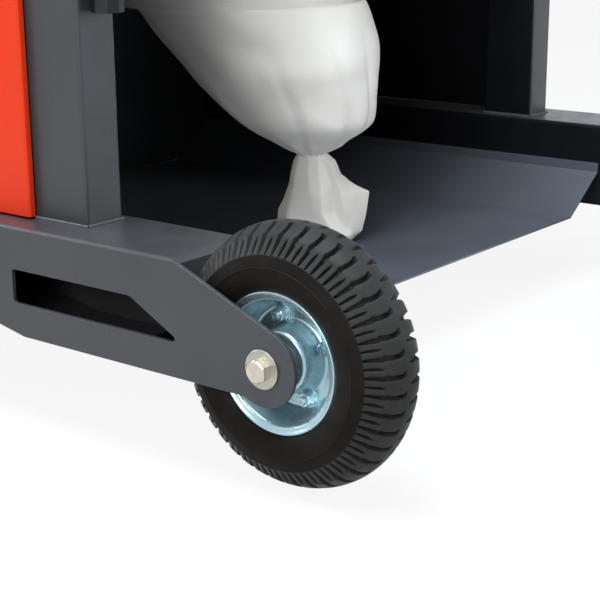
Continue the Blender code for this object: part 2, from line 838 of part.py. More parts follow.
def bag_group():
    """The bag hangs from the collar, leans back and gathers at its tie; its tail meets the tray."""
    hopper_y = ahead(hopper_ahead)
    tie_y = ahead(bag_tie_ahead)
    top = cone_bottom - 12 * mm
    sides = 28
    outer = collar_radius + gap
    band = [
        (outer + 3 * mm, top),
        (outer + 3 * mm, top - 22 * mm),
        (outer, top - 22 * mm),
        (outer, top),
    ]
    clamp = turned("bag_clamp", band, (0, hopper_y, 0), (0, 0, 1), sides)
    lug = hopper_y + outer + 2 * mm
    low = (-16 * mm, lug, top - 18 * mm)
    high = (16 * mm, lug + 13 * mm, top - 4 * mm)
    screw = block("clamp_screw", low, high, mm, 1)
    place(boolean(clamp, screw, "UNION"), steel, 0.3, 1.0)
    bm = bmesh.new()
    sides = 24
    rings = []
    bag_top = cone_bottom - collar_length - gap
    bag_bottom = bag_tie_height + tie_half + gap
    levels = [  # share of the height, radius, share of the way back to the tie
        (1.0, outer, 0.0),
        (0.88, bag_radius * 0.99, 0.02),
        (0.59, bag_radius * 0.98, 0.2),
        (0.37, bag_radius * 0.88, 0.55),
        (0.24, bag_radius * 0.77, 0.75),
        (0.14, bag_radius * 0.59, 0.88),
        (0.04, bag_radius * 0.32, 0.96),
        (0.0, bag_neck_radius, 1.0),
    ]
    for share, radius, lean in levels:
        y = hopper_y + (tie_y - hopper_y) * lean
        z = bag_bottom + (bag_top - bag_bottom) * share
        circle = arc((0, y), radius, 0, 360, sides)[:-1]
        rings.append([bm.verts.new((*point, z)) for point in circle])
    for a, b in zip(rings, rings[1:]):
        for i in range(sides):
            bm.faces.new((a[i], a[(i + 1) % sides], b[(i + 1) % sides], b[i]))
    bm.faces.new(rings[0])
    bm.faces.new(reversed(rings[-1]))
    place(from_bmesh("bag", bm), film, 0.4, smooth=60)
    tie = [
        (0, bag_tie_height + tie_half),
        (bag_neck_radius + 2 * mm, bag_tie_height + tie_half),
        (bag_neck_radius + 2 * mm, bag_tie_height - tie_half),
        (0, bag_tie_height - tie_half),
    ]
    place(turned("bag_tie", tie, (0, tie_y, 0), (0, 0, 1), 20), film, 0.5)
    tail_top = bag_tie_height - tie_half - gap
    floor = tray_floor_height + gap
    tail = [
        (0, tail_top),
        (bag_neck_radius, tail_top),
        (0.6 * tail_radius, tail_top - 0.25 * (tail_top - floor)),
        (0.93 * tail_radius, floor + 0.4 * (tail_top - floor)),
        (tail_radius, floor),
        (0, floor),
    ]
    place(turned("bag_tail", tail, (0, tie_y + 6 * mm, 0), (0, 0, 1), 16), film, 0.4, smooth=60)


def broom_group():
    centre = (ahead(broom_ahead), broom_height)
    inner_radius = broom_radius + housing_clearance
    rear_in = ahead(tray_front + 2 * gap + bulkhead_sheet + 6 * mm) - housing_sheet

    def shell(grow):
        """Side view of the housing: a box at the rear, an arc round the broom in front."""
        radius = inner_radius + grow
        rear = rear_in + grow
        top = housing_top - housing_sheet + grow
        front = math.degrees(math.asin((housing_bottom - centre[1]) / radius))
        meet = math.degrees(math.asin(min(1.0, (top - centre[1]) / radius)))
        corner = 14 * mm + grow
        arc_front = arc(centre, radius, 180 - front, 180 - meet, 12)
        arc_rear = arc((rear - corner, top - corner), corner, 90, 0, 3)
        return arc_front + arc_rear + [(rear, housing_bottom)]

    outline = shell(housing_sheet)
    hull = prism("broom_housing", outline, -housing_half_width, housing_half_width)
    inside = shell(0)
    below = housing_bottom - 20 * mm
    hollow_points = [(inside[0][0], below), *inside, (inside[-1][0], below)]
    inner_half = housing_half_width - housing_sheet
    boolean(hull, prism("broom_hollow", hollow_points, -inner_half, inner_half))
    pivot = (0, ahead(pivot_ahead), pivot_height)
    boolean(hull, drum("pivot_holes", torsion_radius + running, 0.9, pivot, (1, 0, 0), 20))
    stub = (0, ahead(tray_front + duct_ahead), housing_top + (stub_height - housing_sheet) / 2)
    up = (0, 0, 1)
    tall = stub_height + housing_sheet
    boolean(hull, drum("duct_wall", inlet_radius, tall, stub, up, 20), "UNION")
    boolean(hull, drum("duct_bore", inlet_radius - 2 * mm, 6 * stub_height, stub, up, 20))
    place(hull, grey_coat, 0.42, 0.3)

    lip = centre[0] - math.sqrt(inner_radius**2 - (housing_bottom - centre[1]) ** 2)
    skirt = block(
        "front_skirt",
        (-housing_half_width + 4 * mm, lip - housing_sheet, skirt_bottom),
        (housing_half_width - 4 * mm, lip, housing_bottom - gap),
    )
    place(skirt, rubber, 0.8)

    arm_in = shaft_half_length - arm_sheet
    tube_half = housing_half_width + 2 * mm
    arms = drum("broom_arms", torsion_radius, 2 * tube_half, pivot, (1, 0, 0), 20)
    for side in (1, -1):
        a, b = Vector(pivot[1:]), Vector(centre)
        along = (b - a).normalized()
        tilt = math.degrees(math.atan2(along.y, along.x))
        outline = arc(tuple(a), 22 * mm, tilt + 90, tilt + 270, 8)
        outline += arc(tuple(b), 20 * mm, tilt - 90, tilt + 90, 8)
        x = side * (arm_in + arm_sheet / 2)
        arm = prism(f"arm_{side}", outline, x - arm_sheet / 2, x + arm_sheet / 2)
        boolean(arms, arm, "UNION")
        eye = drum(f"arm_bore_{side}", shaft_radius + running, 4 * arm_sheet, (x, *centre), sides=20)
        boolean(arms, eye)
    place(arms, dark_coat, 0.45)

    shaft = drum("broom_shaft", shaft_radius, 2 * shaft_half_length, (0, *centre), (1, 0, 0), 20)
    place(shaft, steel, 0.3, 1.0)
    broom = [
        (broom_radius, broom_half_length),
        (broom_radius, -broom_half_length),
        (core_radius, -broom_half_length),
        (core_radius, -broom_half_length - 6 * mm),
        (shaft_radius + gap, -broom_half_length - 6 * mm),
        (shaft_radius + gap, broom_half_length + 6 * mm),
        (core_radius, broom_half_length + 6 * mm),
        (core_radius, broom_half_length),
    ]
    place(turned("roller_broom", broom, (0, *centre), (1, 0, 0), 28), (0.05, 0.05, 0.06), 0.9)


def suction_duct():
    """A bent pipe from the stub on the housing up to the inlet of the hopper."""
    y = ahead(tray_front + duct_ahead)
    corners = [
        (0, y, housing_top + stub_height + gap),
        (0, y, inlet_height),
        (0, ahead(hopper_ahead) - hopper_radius - inlet_length - gap, inlet_height),
    ]
    place(tube("suction_duct", bent_line(corners, duct_bend), inlet_radius, 3), plastic, 0.5)


def casters():
    for side, word in ((1, "left"), (-1, "right")):
        x, y = side * rail_x, ahead(caster_ahead)
        width, depth, sheet = caster_plate_size
        top = rail_front_bottom - gap
        low = (x - width / 2, y - depth / 2, top - sheet)
        plate = block("caster_plate_" + word, low, (x + width / 2, y + depth / 2, top), mm, 1)
        race_at = (x, y, top - sheet - 6 * mm + 0.01 * mm)
        race = drum("race_" + word, 28 * mm, 12 * mm, race_at, (0, 0, 1), 24)
        place(boolean(plate, race, "UNION"), zinc, 0.35, 1.0)
        crown = top - sheet - 12 * mm - gap
        wheel_y = y + caster_trail
        half = caster_width / 2 + 6 * mm
        side_view = [
            (y - 26 * mm, crown),
            (y - 26 * mm, crown - 16 * mm),
            *arc((wheel_y, caster_radius), 13 * mm, 200, 360, 8),
            (y + 38 * mm, crown - 16 * mm),
            (y + 30 * mm, crown),
        ]
        low = caster_radius - 20 * mm
        name = "caster_fork_" + word
        fork = bent_channel(name, x, 2 * half, crown, low, 3 * mm, 4 * mm, side_view)
        pin_at = (x, wheel_y, caster_radius)
        pin = drum("caster_pin_" + word, 5 * mm, 2 * half + 10 * mm, pin_at, (1, 0, 0), 12)
        place(boolean(fork, pin, "UNION"), zinc, 0.35, 1.0)
        wheel = [
            (caster_radius - 3 * mm, caster_width / 2),
            (caster_radius, caster_width / 2 - 4 * mm),
            (caster_radius, -caster_width / 2 + 4 * mm),
            (caster_radius - 3 * mm, -caster_width / 2),
            (caster_radius - 14 * mm, -caster_width / 2),
            (caster_radius - 16 * mm, -6 * mm),
            (12 * mm, -half + 3.4 * mm),
            (5 * mm + running, -half + 3.4 * mm),
            (5 * mm + running, half - 3.4 * mm),
            (12 * mm, half - 3.4 * mm),
            (caster_radius - 16 * mm, 6 * mm),
            (caster_radius - 14 * mm, caster_width / 2),
        ]
        spun = turned("caster_wheel_" + word, wheel, pin_at, (1, 0, 0), 20)
        place(spun, rubber, 0.7)


def handle_group():
    """A bent tube that runs up the rear faces of the rear posts and carries the controls."""
    foot_y = ahead(rear_post_rear) + handle_radius + gap
    top_y = ahead(-handle_behind)
    x = post_x
    corners = [
        (x, foot_y, handle_foot),
        (x, foot_y, handle_knee),
        (x, top_y, handle_height),
        (-x, top_y, handle_height),
        (-x, foot_y, handle_knee),
        (-x, foot_y, handle_foot),
    ]
    place(tube("push_handle", bent_line(corners, handle_bend), handle_radius), dark_coat, 0.4, 0.2)
    for side, word in ((1, "left"), (-1, "right")):
        inner = handle_radius + gap
        sleeve = [
            (grip_radius - 2 * mm, grip_length / 2),
            (grip_radius, grip_length / 2 - 4 * mm),
            (grip_radius, -grip_length / 2 + 4 * mm),
            (grip_radius - 2 * mm, -grip_length / 2),
            (inner, -grip_length / 2),
            (inner, grip_length / 2),
        ]
        at = (side * (control_size[0] / 2 + 20 * mm + grip_length), top_y, handle_height)
        place(turned("grip_" + word, sleeve, at, (1, 0, 0), 20), rubber, 0.75)
    width, depth, height = control_size
    box_low = handle_height - handle_radius - gap - height
    box = block(
        "control_box",
        (-width / 2, top_y - depth / 2, box_low),
        (width / 2, top_y + depth / 2, box_low + height),
        5 * mm,
    )
    saddle = block(
        "saddle",
        (-width / 2 + 12 * mm, top_y - 26 * mm, box_low + height - 10 * mm),
        (width / 2 - 12 * mm, top_y + 26 * mm, handle_height + 8 * mm),
        3 * mm,
        1,
    )
    boolean(box, saddle, "UNION")
    slot = handle_radius + gap
    boolean(box, drum("bar_channel", slot, 2 * width, (0, top_y, handle_height)))
    high = (width, top_y + slot, handle_height + 2 * handle_radius)
    boolean(box, block("bar_slot", (-width, top_y - slot, handle_height), high))
    stop_at = (width / 4, top_y + depth / 2 + stop_travel + 3 * mm, box_low + height / 2 - 4 * mm)
    hole_at = (stop_at[0], top_y + depth / 2, stop_at[2])
    boolean(box, drum("stop_hole", stop_stem_radius + 2 * running, 24 * mm, hole_at, (0, 1, 0), 20))
    place(box, plastic, 0.5)
    profile = [
        (0, 9 * mm),
        (12 * mm, 9 * mm),
        (15 * mm, 6 * mm),
        (15 * mm, 0),
        (stop_stem_radius, -mm),
        (stop_stem_radius, -15 * mm),
        (0, -15 * mm),
    ]
    place(turned("stop_button", profile, stop_at, (0, 1, 0), 20), (0.6, 0.02, 0.02), 0.35)
    key_at = Vector((-width / 4, top_y + depth / 2 + gap, box_low + height / 2 - 4 * mm))
    barrel = drum("key_switch", 9 * mm, 6 * mm, key_at + Vector((0, 3 * mm, 0)), (0, 1, 0), 20)
    low = key_at + Vector((-1.2 * mm, 5 * mm, -9 * mm))
    high = key_at + Vector((1.2 * mm, 24 * mm, 9 * mm))
    blade = block("key_blade", low, high, 0.5 * mm, 1)
    place(boolean(barrel, blade, "UNION"), steel, 0.3, 1.0)


def lift_lever_group(carrier):
    """A bracket welded to the rear cross tube, with the lever that lifts the broom."""
    y = ahead(rear_post_rear) + gap
    pivot = Vector((lever_x, y + 22 * mm, lever_pivot_height))
    ear = 5 * mm
    slot = 4.4 * mm
    low = (lever_x - 20 * mm, y - mm, lever_pivot_height - 18 * mm)
    high = (lever_x + 20 * mm, y + 4 * mm, lever_pivot_height + 14 * mm)
    base = block("lever_bracket", low, high, 0.6 * mm, 1)
    for side in (1, -1):
        cheek = block(
            f"lever_cheek_{side}",
            (lever_x + side * slot, y + mm, lever_pivot_height - 14 * mm),
            (lever_x + side * (slot + ear), y + 34 * mm, lever_pivot_height + 12 * mm),
        )
        boolean(base, cheek, "UNION")
    pin = drum("lever_pin", 5 * mm, 2 * (slot + ear) + 4 * mm, tuple(pivot), (1, 0, 0), 16)
    boolean(base, pin, "UNION")
    boolean(carrier, base, "UNION")
    lean = math.radians(78)
    along = Vector((math.cos(lean), math.sin(lean)))
    a = Vector((pivot.y, pivot.z))
    b = a + along * lever_length
    tilt = math.degrees(lean)
    outline = arc(tuple(a), 10 * mm, tilt + 90, tilt + 270, 8)
    outline += arc(tuple(b), 7 * mm, tilt - 90, tilt + 90, 6)
    lever = prism("lift_lever", outline, lever_x - slot + gap, lever_x + slot - gap)
    bore = drum("lever_bore", 5 * mm + running, 0.05, tuple(pivot), (1, 0, 0), 16)
    place(boolean(lever, bore), dark_coat, 0.4, 0.2)
    tip = b + along * (7 * mm + gap)
    knob = [
        (0, 44 * mm),
        (10 * mm, 42 * mm),
        (16 * mm, 34 * mm),
        (17 * mm, 24 * mm),
        (12 * mm, 8 * mm),
        (9 * mm, 0),
        (0, 0),
    ]
    ball = turned("lever_knob", knob, (lever_x, tip.x, tip.y), (0, along.x, along.y), 18)
    place(ball, plastic, 0.35)


def battery_lid():
    """A shallow pan over the battery bay, hinged along its rear edge."""
    low = upper_frame_top + gap
    rear = ahead(lid_start)
    front = ahead(rail_length) - gap
    edge = post_outside
    lid = block("battery_lid", (-edge, front, low), (edge, rear, low + lid_height), 6 * mm)
    hollow = block(
        "lid_hollow",
        (-edge + lid_sheet, front + lid_sheet, low - mm),
        (edge - lid_sheet, rear - lid_sheet, low + lid_height - lid_sheet),
    )
    boolean(lid, hollow)
    pin_z = low + deck_sheet + lid_pin_radius + gap
    pin_y = rear + lid_pin_radius - mm
    knuckle = drum("lid_knuckle", lid_pin_radius, 1.6 * edge, (0, pin_y, pin_z), (1, 0, 0), 12)
    place(boolean(lid, knuckle, "UNION"), orange_coat, 0.35)


for side, word in ((1, "left"), (-1, "right")):
    side_rail(side, word)
    rear_wheel(side, word)
tray()
bulkhead()
rear_cross = frame_posts()
skins()
battery_bay()
hopper_group()
latches()
bag_group()
broom_group()
suction_duct()
casters()
handle_group()
lift_lever_group(rear_cross)
battery_lid()
bpy.context.view_layer.update()
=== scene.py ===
import math
import random

import bmesh
import bpy
from mathutils import Matrix, Vector, noise


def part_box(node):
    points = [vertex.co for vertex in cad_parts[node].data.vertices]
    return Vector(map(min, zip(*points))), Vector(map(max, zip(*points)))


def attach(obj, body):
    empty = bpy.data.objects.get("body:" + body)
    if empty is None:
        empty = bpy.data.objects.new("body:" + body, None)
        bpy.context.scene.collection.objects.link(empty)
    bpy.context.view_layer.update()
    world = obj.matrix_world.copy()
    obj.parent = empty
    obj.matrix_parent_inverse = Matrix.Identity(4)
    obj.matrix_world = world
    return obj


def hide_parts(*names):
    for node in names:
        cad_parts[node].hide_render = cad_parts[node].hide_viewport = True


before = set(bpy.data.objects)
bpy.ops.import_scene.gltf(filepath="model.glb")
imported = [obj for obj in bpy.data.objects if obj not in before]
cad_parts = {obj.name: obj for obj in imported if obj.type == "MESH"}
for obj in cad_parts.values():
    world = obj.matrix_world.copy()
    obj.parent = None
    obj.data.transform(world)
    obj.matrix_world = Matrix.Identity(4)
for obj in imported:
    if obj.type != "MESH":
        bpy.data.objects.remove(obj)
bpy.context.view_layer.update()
print("frame loaded:", len(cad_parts), "nodes")

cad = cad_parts
mm = 0.001
fullTurn = 2 * math.pi
sides = (("left", 1), ("right", -1))


def middleOf(node):
    low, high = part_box(node)
    return (low + high) / 2


def halvesOf(node):  # middle, half height and half width
    low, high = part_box(node)
    return (low + high) / 2, (high.z - low.z) / 2, (high.x - low.x) / 2


def newObject(name, data):
    obj = bpy.data.objects.new(name, data)
    bpy.context.scene.collection.objects.link(obj)
    return obj


def inMm(points):
    return [tuple(v * mm for v in p) for p in points]


def rise(height):
    return Vector((0, 0, height))


def polar(turn, radius=1.0, height=0.0):
    return Vector((radius * math.cos(turn), radius * math.sin(turn), height))


wheelMid = middleOf("tyre_left")

# camera first, then the finishes
cameraSet = {
    "azimuth": 128.3, "elevation": 16.12, "roll": -0.48, "lens": 83.87, "sensor": 36,
    "fromWheel": (0.9458, 0.7499, 0.4008),
}


def addCamera(s):
    cam = newObject("camera", bpy.data.cameras.new("camera"))
    cam.data.lens = s["lens"]
    cam.data.sensor_width = s["sensor"]
    cam.data.clip_start = 0.01
    a, e = math.radians(s["azimuth"]), math.radians(s["elevation"])
    back = Vector((math.sin(a) * math.cos(e), -math.cos(a) * math.cos(e), math.sin(e)))
    turn = (-back).to_track_quat("-Z", "Y").to_matrix() @ Matrix.Rotation(math.radians(s["roll"]), 3, "Z")
    cam.matrix_world = Matrix.Translation(wheelMid + Vector(s["fromWheel"])) @ turn.to_4x4()
    bpy.context.scene.camera = cam
    bpy.context.scene.view_settings.view_transform = "Standard"


addCamera(cameraSet)


# short names for making node trees
def put(node, **values):  # an underscore stands for a space in a socket's name
    for key, value in values.items():
        node.inputs[key.replace("_", " ")].default_value = value


def newMaterial(name, colour, rough, metal=0.0):
    mat = bpy.data.materials.new(name)
    mat.use_nodes = True
    shader = mat.node_tree.nodes["Principled BSDF"]
    put(shader, Base_Color=(*colour, 1), Roughness=rough, Metallic=metal)
    return mat, mat.node_tree, shader


def addNode(tree, kind, **settings):
    node = tree.nodes.new("ShaderNode" + kind)
    for key, value in settings.items():
        if hasattr(node, key):
            setattr(node, key, value)
        else:
            put(node, **{key: value})
    return node


def feed(tree, socket, value):  # numbers and colours are set on the socket, outputs are linked to it
    if isinstance(value, tuple):
        socket.default_value = (*value, 1)
    elif isinstance(value, (int, float)):
        socket.default_value = value
    else:
        tree.links.new(value, socket)


def objectPoint(tree):
    return addNode(tree, "TexCoord").outputs["Object"]


def noiseOf(tree, scale, detail=2.0, rough=0.5, point=None, warp=0.0):
    node = addNode(tree, "TexNoise", Scale=scale, Detail=detail, Roughness=rough, Distortion=warp)
    tree.links.new(point or objectPoint(tree), node.inputs["Vector"])
    return node.outputs["Fac"]


def mapped(tree, value, fromLow, fromHigh, toLow=0.0, toHigh=1.0):
    node = addNode(tree, "MapRange", From_Min=fromLow, From_Max=fromHigh, To_Min=toLow, To_Max=toHigh)
    tree.links.new(value, node.inputs["Value"])
    return node.outputs["Result"]


def cloudOf(tree, scale, detail=2.0, rough=0.5, span=(0.3, 0.7), to=(0.0, 1.0), point=None, warp=0.0):
    return mapped(tree, noiseOf(tree, scale, detail, rough, point, warp), *span, *to)


def maths(tree, operation, a, b):
    node = addNode(tree, "Math", operation=operation)
    feed(tree, node.inputs[0], a)
    feed(tree, node.inputs[1], b)
    return node.outputs[0]


def mixColour(tree, amount, a, b):
    node = addNode(tree, "Mix", data_type="RGBA")
    for socket, value in ((0, amount), (6, a), (7, b)):
        feed(tree, node.inputs[socket], value)
    return node.outputs[2]


def distanceOf(tree, point, axes):  # how far a point is from the axis that axes leaves out
    flat = addNode(tree, "VectorMath", operation="MULTIPLY")
    flat.inputs[1].default_value = axes
    tree.links.new(point, flat.inputs[0])
    far = addNode(tree, "VectorMath", operation="LENGTH")
    tree.links.new(flat.outputs[0], far.inputs[0])
    return far.outputs["Value"]


def bumpInto(tree, shader, height, distance, strength=1.0, after=None):
    node = addNode(tree, "Bump", Strength=strength, Distance=distance)
    tree.links.new(height, node.inputs["Height"])
    if after:
        tree.links.new(after, node.inputs["Normal"])
    tree.links.new(node.outputs["Normal"], shader.inputs["Normal"])
    return node.outputs["Normal"]


def edgeMask(tree, radius):  # 1 along sharp edges, 0 on flat faces
    soft = addNode(tree, "Bevel", samples=6, Radius=radius)
    true = addNode(tree, "NewGeometry")
    dot = addNode(tree, "VectorMath", operation="DOT_PRODUCT")
    tree.links.new(soft.outputs["Normal"], dot.inputs[0])
    tree.links.new(true.outputs["Normal"], dot.inputs[1])
    return mapped(tree, dot.outputs["Value"], 0.995, 0.88)


def dress(tree, shader, colour, rough):  # patterned colour and roughness
    tree.links.new(colour, shader.inputs["Base Color"])
    tree.links.new(rough, shader.inputs["Roughness"])


def shaded(colour, amount, lift=0.0):
    return tuple(min(1, c * amount + lift) for c in colour)


# finishes
powderSet = {
    "peel": 620, "peelDepth": 0.05 * mm, "grain": 2600, "grainDepth": 0.012 * mm,
    "patch": 9, "patchShade": 0.12, "spread": 0.06, "speck": 1500, "edgeWidth": 0.5 * mm,
    "edgeLightAndWear": 60, "gleam": 34, "tint": (0.82, 0.92, 1.0),
}


def powderCoat(name, colour, rough, gloss=0.5, s=powderSet, edge=0.35, even=0.0):
    mat, tree, shader = newMaterial(name, colour, rough)
    shade = 1 - s["patchShade"] * (1 - even)
    patch = cloudOf(tree, s["patch"], 4, 0.6)
    coat = mixColour(tree, patch, shaded(colour, shade), shaded(colour, 1 / shade))
    speck = cloudOf(tree, s["speck"], 1, span=(0.66, 0.74), to=(0.0, 0.12))
    coat = mixColour(tree, speck, coat, shaded(colour, 1.4, 0.01))
    # sharp edges are painted lighter: partly a painted highlight along cut edges and bends, partly wear,
    # broken up by noise
    litAndRubbed = cloudOf(tree, s["edgeLightAndWear"], 3, span=(0.3, 0.6), to=(0.5, 1.0))
    edgeLightAndWear = maths(tree, "MULTIPLY", edgeMask(tree, s["edgeWidth"]), litAndRubbed)
    litAndWorn = mixColour(tree, maths(tree, "MULTIPLY", edgeLightAndWear, edge), coat, shaded(colour, 1.9, 0.05))
    gleam = cloudOf(tree, s["gleam"], 3, to=(rough - s["spread"], rough + s["spread"]))
    dress(tree, shader, litAndWorn, gleam)
    peel = bumpInto(tree, shader, noiseOf(tree, s["peel"]), s["peelDepth"])
    bumpInto(tree, shader, noiseOf(tree, s["grain"], 1), s["grainDepth"], after=peel)
    # painted reflection colour: the reflections are tinted cool blue, standing in for bluish light from above
    put(shader, Specular_IOR_Level=gloss, Specular_Tint=(*s["tint"], 1))
    return mat


zincSet = {
    "cool": (0.36, 0.52, 0.58), "pale": (0.47, 0.63, 0.68), "warm": (0.60, 0.68, 0.68),
    "rough": (0.24, 0.30), "blue": 18, "straw": 36, "gleam": 40, "dents": 90, "depth": 0.010 * mm,
    "ringPitch": 5200, "ringDepth": 0.03,
}


def zincPlate(name, s=zincSet, rings=True):
    mat, tree, shader = newMaterial(name, s["pale"], 0.2, 0.8)
    point = objectPoint(tree)
    cloud = cloudOf(tree, s["blue"], 2, point=point, warp=0.4)
    tint = mixColour(tree, cloud, s["cool"], s["pale"])  # blue passivation drifts to straw in places
    warm = cloudOf(tree, s["straw"], 3, 0.55, (0.58, 0.78), (0.0, 0.5), point, 0.8)
    tint = mixColour(tree, warm, tint, s["warm"])
    dress(tree, shader, tint, cloudOf(tree, s["gleam"], 2, to=s["rough"], point=point))
    height = noiseOf(tree, s["dents"], 2, 0.5, point)
    if rings:  # faint spinning marks round the wheel's axis
        wave = maths(tree, "MULTIPLY", distanceOf(tree, point, (1, 1, 0)), s["ringPitch"])
        wave = maths(tree, "MULTIPLY", maths(tree, "SINE", wave, 0), s["ringDepth"])
        height = maths(tree, "ADD", height, wave)
    bumpInto(tree, shader, height, s["depth"])
    return mat


steelSet = {"cloud": 120, "gleam": 260, "scratch": 700, "depth": 0.010 * mm}


def plainSteel(name, colour, rough, s=steelSet):
    mat, tree, shader = newMaterial(name, colour, rough, 1.0)
    shade = mixColour(tree, cloudOf(tree, s["cloud"], 4, 0.6), shaded(colour, 0.82), colour)
    dress(tree, shader, shade, cloudOf(tree, s["gleam"], 4, to=(rough - 0.08, rough + 0.1)))
    bumpInto(tree, shader, noiseOf(tree, s["scratch"], 3, 0.6), s["depth"])
    return mat


rubberSet = {
    "colour": (0.0068, 0.0058, 0.0050), "dust": (0.028, 0.025, 0.023), "rough": 0.46, "grain": 1700,
    "grainDepth": 0.05 * mm, "waves": 170, "waveDepth": 0.08 * mm, "dustPatch": 38, "dustGrain": 420,
    "litAndRubbed": 65, "litAndRubbedFade": 1.2 * mm, "gleam": 55, "gloss": 0.06, "sheen": 0.05, "sheenRough": 0.35,
}


def rubberOf(name, s=rubberSet, dusty=0.35, litAndWorn=None):  # last argument: colour and radius of the running surface, painted lighter there, partly as wear and partly as painted top light
    mat, tree, shader = newMaterial(name, s["colour"], s["rough"])
    cloud = cloudOf(tree, s["dustPatch"], 5, 0.62, (0.42, 0.75), (0.0, dusty))
    fine = cloudOf(tree, s["dustGrain"], 3, 0.6, (0.45, 0.7), (0.4, 1.0))
    colour = mixColour(tree, maths(tree, "MULTIPLY", cloud, fine), s["colour"], s["dust"])
    # the running surface is painted lighter than the flanks: partly wear, partly painted light standing in
    # for the top lamp on the tread
    if litAndWorn:
        shade, radius = litAndWorn
        away = distanceOf(tree, objectPoint(tree), (0, 1, 1))
        litAndRubbed = mapped(tree, away, radius, radius + s["litAndRubbedFade"])
        litAndRubbed = maths(tree, "MULTIPLY", litAndRubbed, cloudOf(tree, s["litAndRubbed"], 4, 0.6, to=(0.7, 1.0)))
        colour = mixColour(tree, litAndRubbed, colour, shade)
    gleam = cloudOf(tree, s["gleam"], 3, to=(s["rough"] - 0.08, s["rough"] + 0.12))
    dress(tree, shader, colour, gleam)
    put(shader, Specular_IOR_Level=s["gloss"], Sheen_Weight=s["sheen"], Sheen_Roughness=s["sheenRough"])
    grain = bumpInto(tree, shader, noiseOf(tree, s["grain"], 3, 0.6), s["grainDepth"])
    bumpInto(tree, shader, noiseOf(tree, s["waves"], 3, 0.5), s["waveDepth"], after=grain)
    return mat


plasticSet = {"cloud": 20, "gleam": 80}


def mouldedPlastic(name, colour, rough=0.45, grain=1400, depth=0.04 * mm, s=plasticSet):
    mat, tree, shader = newMaterial(name, colour, rough)
    shade = mixColour(tree, cloudOf(tree, s["cloud"], 4), shaded(colour, 0.88), colour)
    dress(tree, shader, shade, cloudOf(tree, s["gleam"], 4, to=(rough - 0.06, rough + 0.08)))
    bumpInto(tree, shader, noiseOf(tree, grain, 2, 0.5), depth)
    return mat


filmSet = {
    "colour": (0.93, 0.92, 0.895), "shade": (0.88, 0.87, 0.84), "glow": (0.96, 0.95, 0.93),
    "rough": 0.34, "through": 0.45, "cloud": 14, "crinkle": 60, "crinkleDepth": 1.0 * mm, "fine": 420,
    "fineDepth": 0.10 * mm,
}


def bagFilm(name, s=filmSet):
    mat, tree, shader = newMaterial(name, s["colour"], s["rough"])
    cloud = cloudOf(tree, s["cloud"], 4, 0.6, (0.35, 0.7))
    feed(tree, shader.inputs["Base Color"], mixColour(tree, cloud, s["colour"], s["shade"]))
    soft = bumpInto(tree, shader, noiseOf(tree, s["crinkle"], 4, 0.55, warp=1.6), s["crinkleDepth"], 0.55)
    bumpInto(tree, shader, noiseOf(tree, s["fine"], 3, 0.6, warp=0.8), s["fineDepth"], 0.6, after=soft)
    blendInto(tree, s["through"], shader, addNode(tree, "BsdfTranslucent", Color=(*s["glow"], 1)))
    return mat


def blendInto(tree, amount, first, second):  # the surface is a mix of two shaders
    blend = addNode(tree, "MixShader")
    feed(tree, blend.inputs["Fac"], amount)
    tree.links.new(first.outputs[0], blend.inputs[1])
    tree.links.new(second.outputs[0], blend.inputs[2])
    tree.links.new(blend.outputs[0], tree.nodes["Material Output"].inputs["Surface"])


smoothSet = {**powderSet, "peelDepth": 0.018 * mm, "grainDepth": 0.004 * mm, "spread": 0.02}
greyCoat = powderCoat("greyCoat", (0.037, 0.0365, 0.040), 0.33, 0.5)
trayCoat = powderCoat("trayCoat", (0.070, 0.078, 0.093), 0.25, 1.0, smoothSet)
# near-black coat that paints the shade inside the machine onto the faces that look into it
paintedShadeCoat = powderCoat("paintedShadeCoat", (0.004, 0.004, 0.005), 0.48, 0.14, edge=0.1)
blackCoat = powderCoat("blackCoat", (0.008, 0.008, 0.009), 0.42, 0.3, edge=0.2)
orangeCoat = powderCoat("orangeCoat", (0.64, 0.036, 0.007), 0.38, 0.16, edge=0.25, even=0.75)
wheelZinc = zincPlate("wheelZinc")
frameZinc = zincPlate("frameZinc", rings=False)
boltSteel = plainSteel("boltSteel", (0.72, 0.67, 0.58), 0.27)
washerSteel = plainSteel("washerSteel", (0.50, 0.50, 0.43), 0.36)
brightSteel = plainSteel("brightSteel", (0.66, 0.67, 0.68), 0.24)
copperBar = plainSteel("copperBar", (0.62, 0.30, 0.17), 0.3)
# the tread's lighter colour is part wear, part painted top light
tyreRubber = rubberOf("tyreRubber", litAndWorn=((0.031, 0.0308, 0.0305), 99.9 * mm))
blackRubber = rubberOf("blackRubber", dusty=0.15)
blackPlastic = mouldedPlastic("blackPlastic", (0.022, 0.022, 0.024))
redPlastic = mouldedPlastic("redPlastic", (0.62, 0.012, 0.010), 0.28)
filterFelt = mouldedPlastic("filterFelt", (0.72, 0.70, 0.64), 0.85, 2600, 0.2 * mm)
bristleNylon = mouldedPlastic("bristleNylon", (0.020, 0.030, 0.050), 0.38, 900, 0.03 * mm)
greyNylon = mouldedPlastic("greyNylon", (0.16, 0.16, 0.165), 0.42)
paleDial = mouldedPlastic("paleDial", (0.70, 0.70, 0.68), 0.3, 900, 0.01 * mm)
paleFilm = bagFilm("paleFilm")
print("finishes made")


# mesh builders
def piece(name, mesh, mat, smooth, place=None, body="chassis", standsFor=None):
    mesh.name = name
    mesh.materials.append(mat)
    for face in mesh.polygons:
        face.use_smooth = True
    mesh.set_sharp_from_angle(angle=math.radians(smooth))
    obj = newObject(name, mesh)
    if place:
        obj.matrix_world = place
    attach(obj, body)
    if standsFor:
        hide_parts(standsFor)
    return obj


def meshOf(points, faces):
    mesh = bpy.data.meshes.new("mesh")
    mesh.from_pydata([tuple(p) for p in points], [], faces)
    mesh.validate()
    return mesh


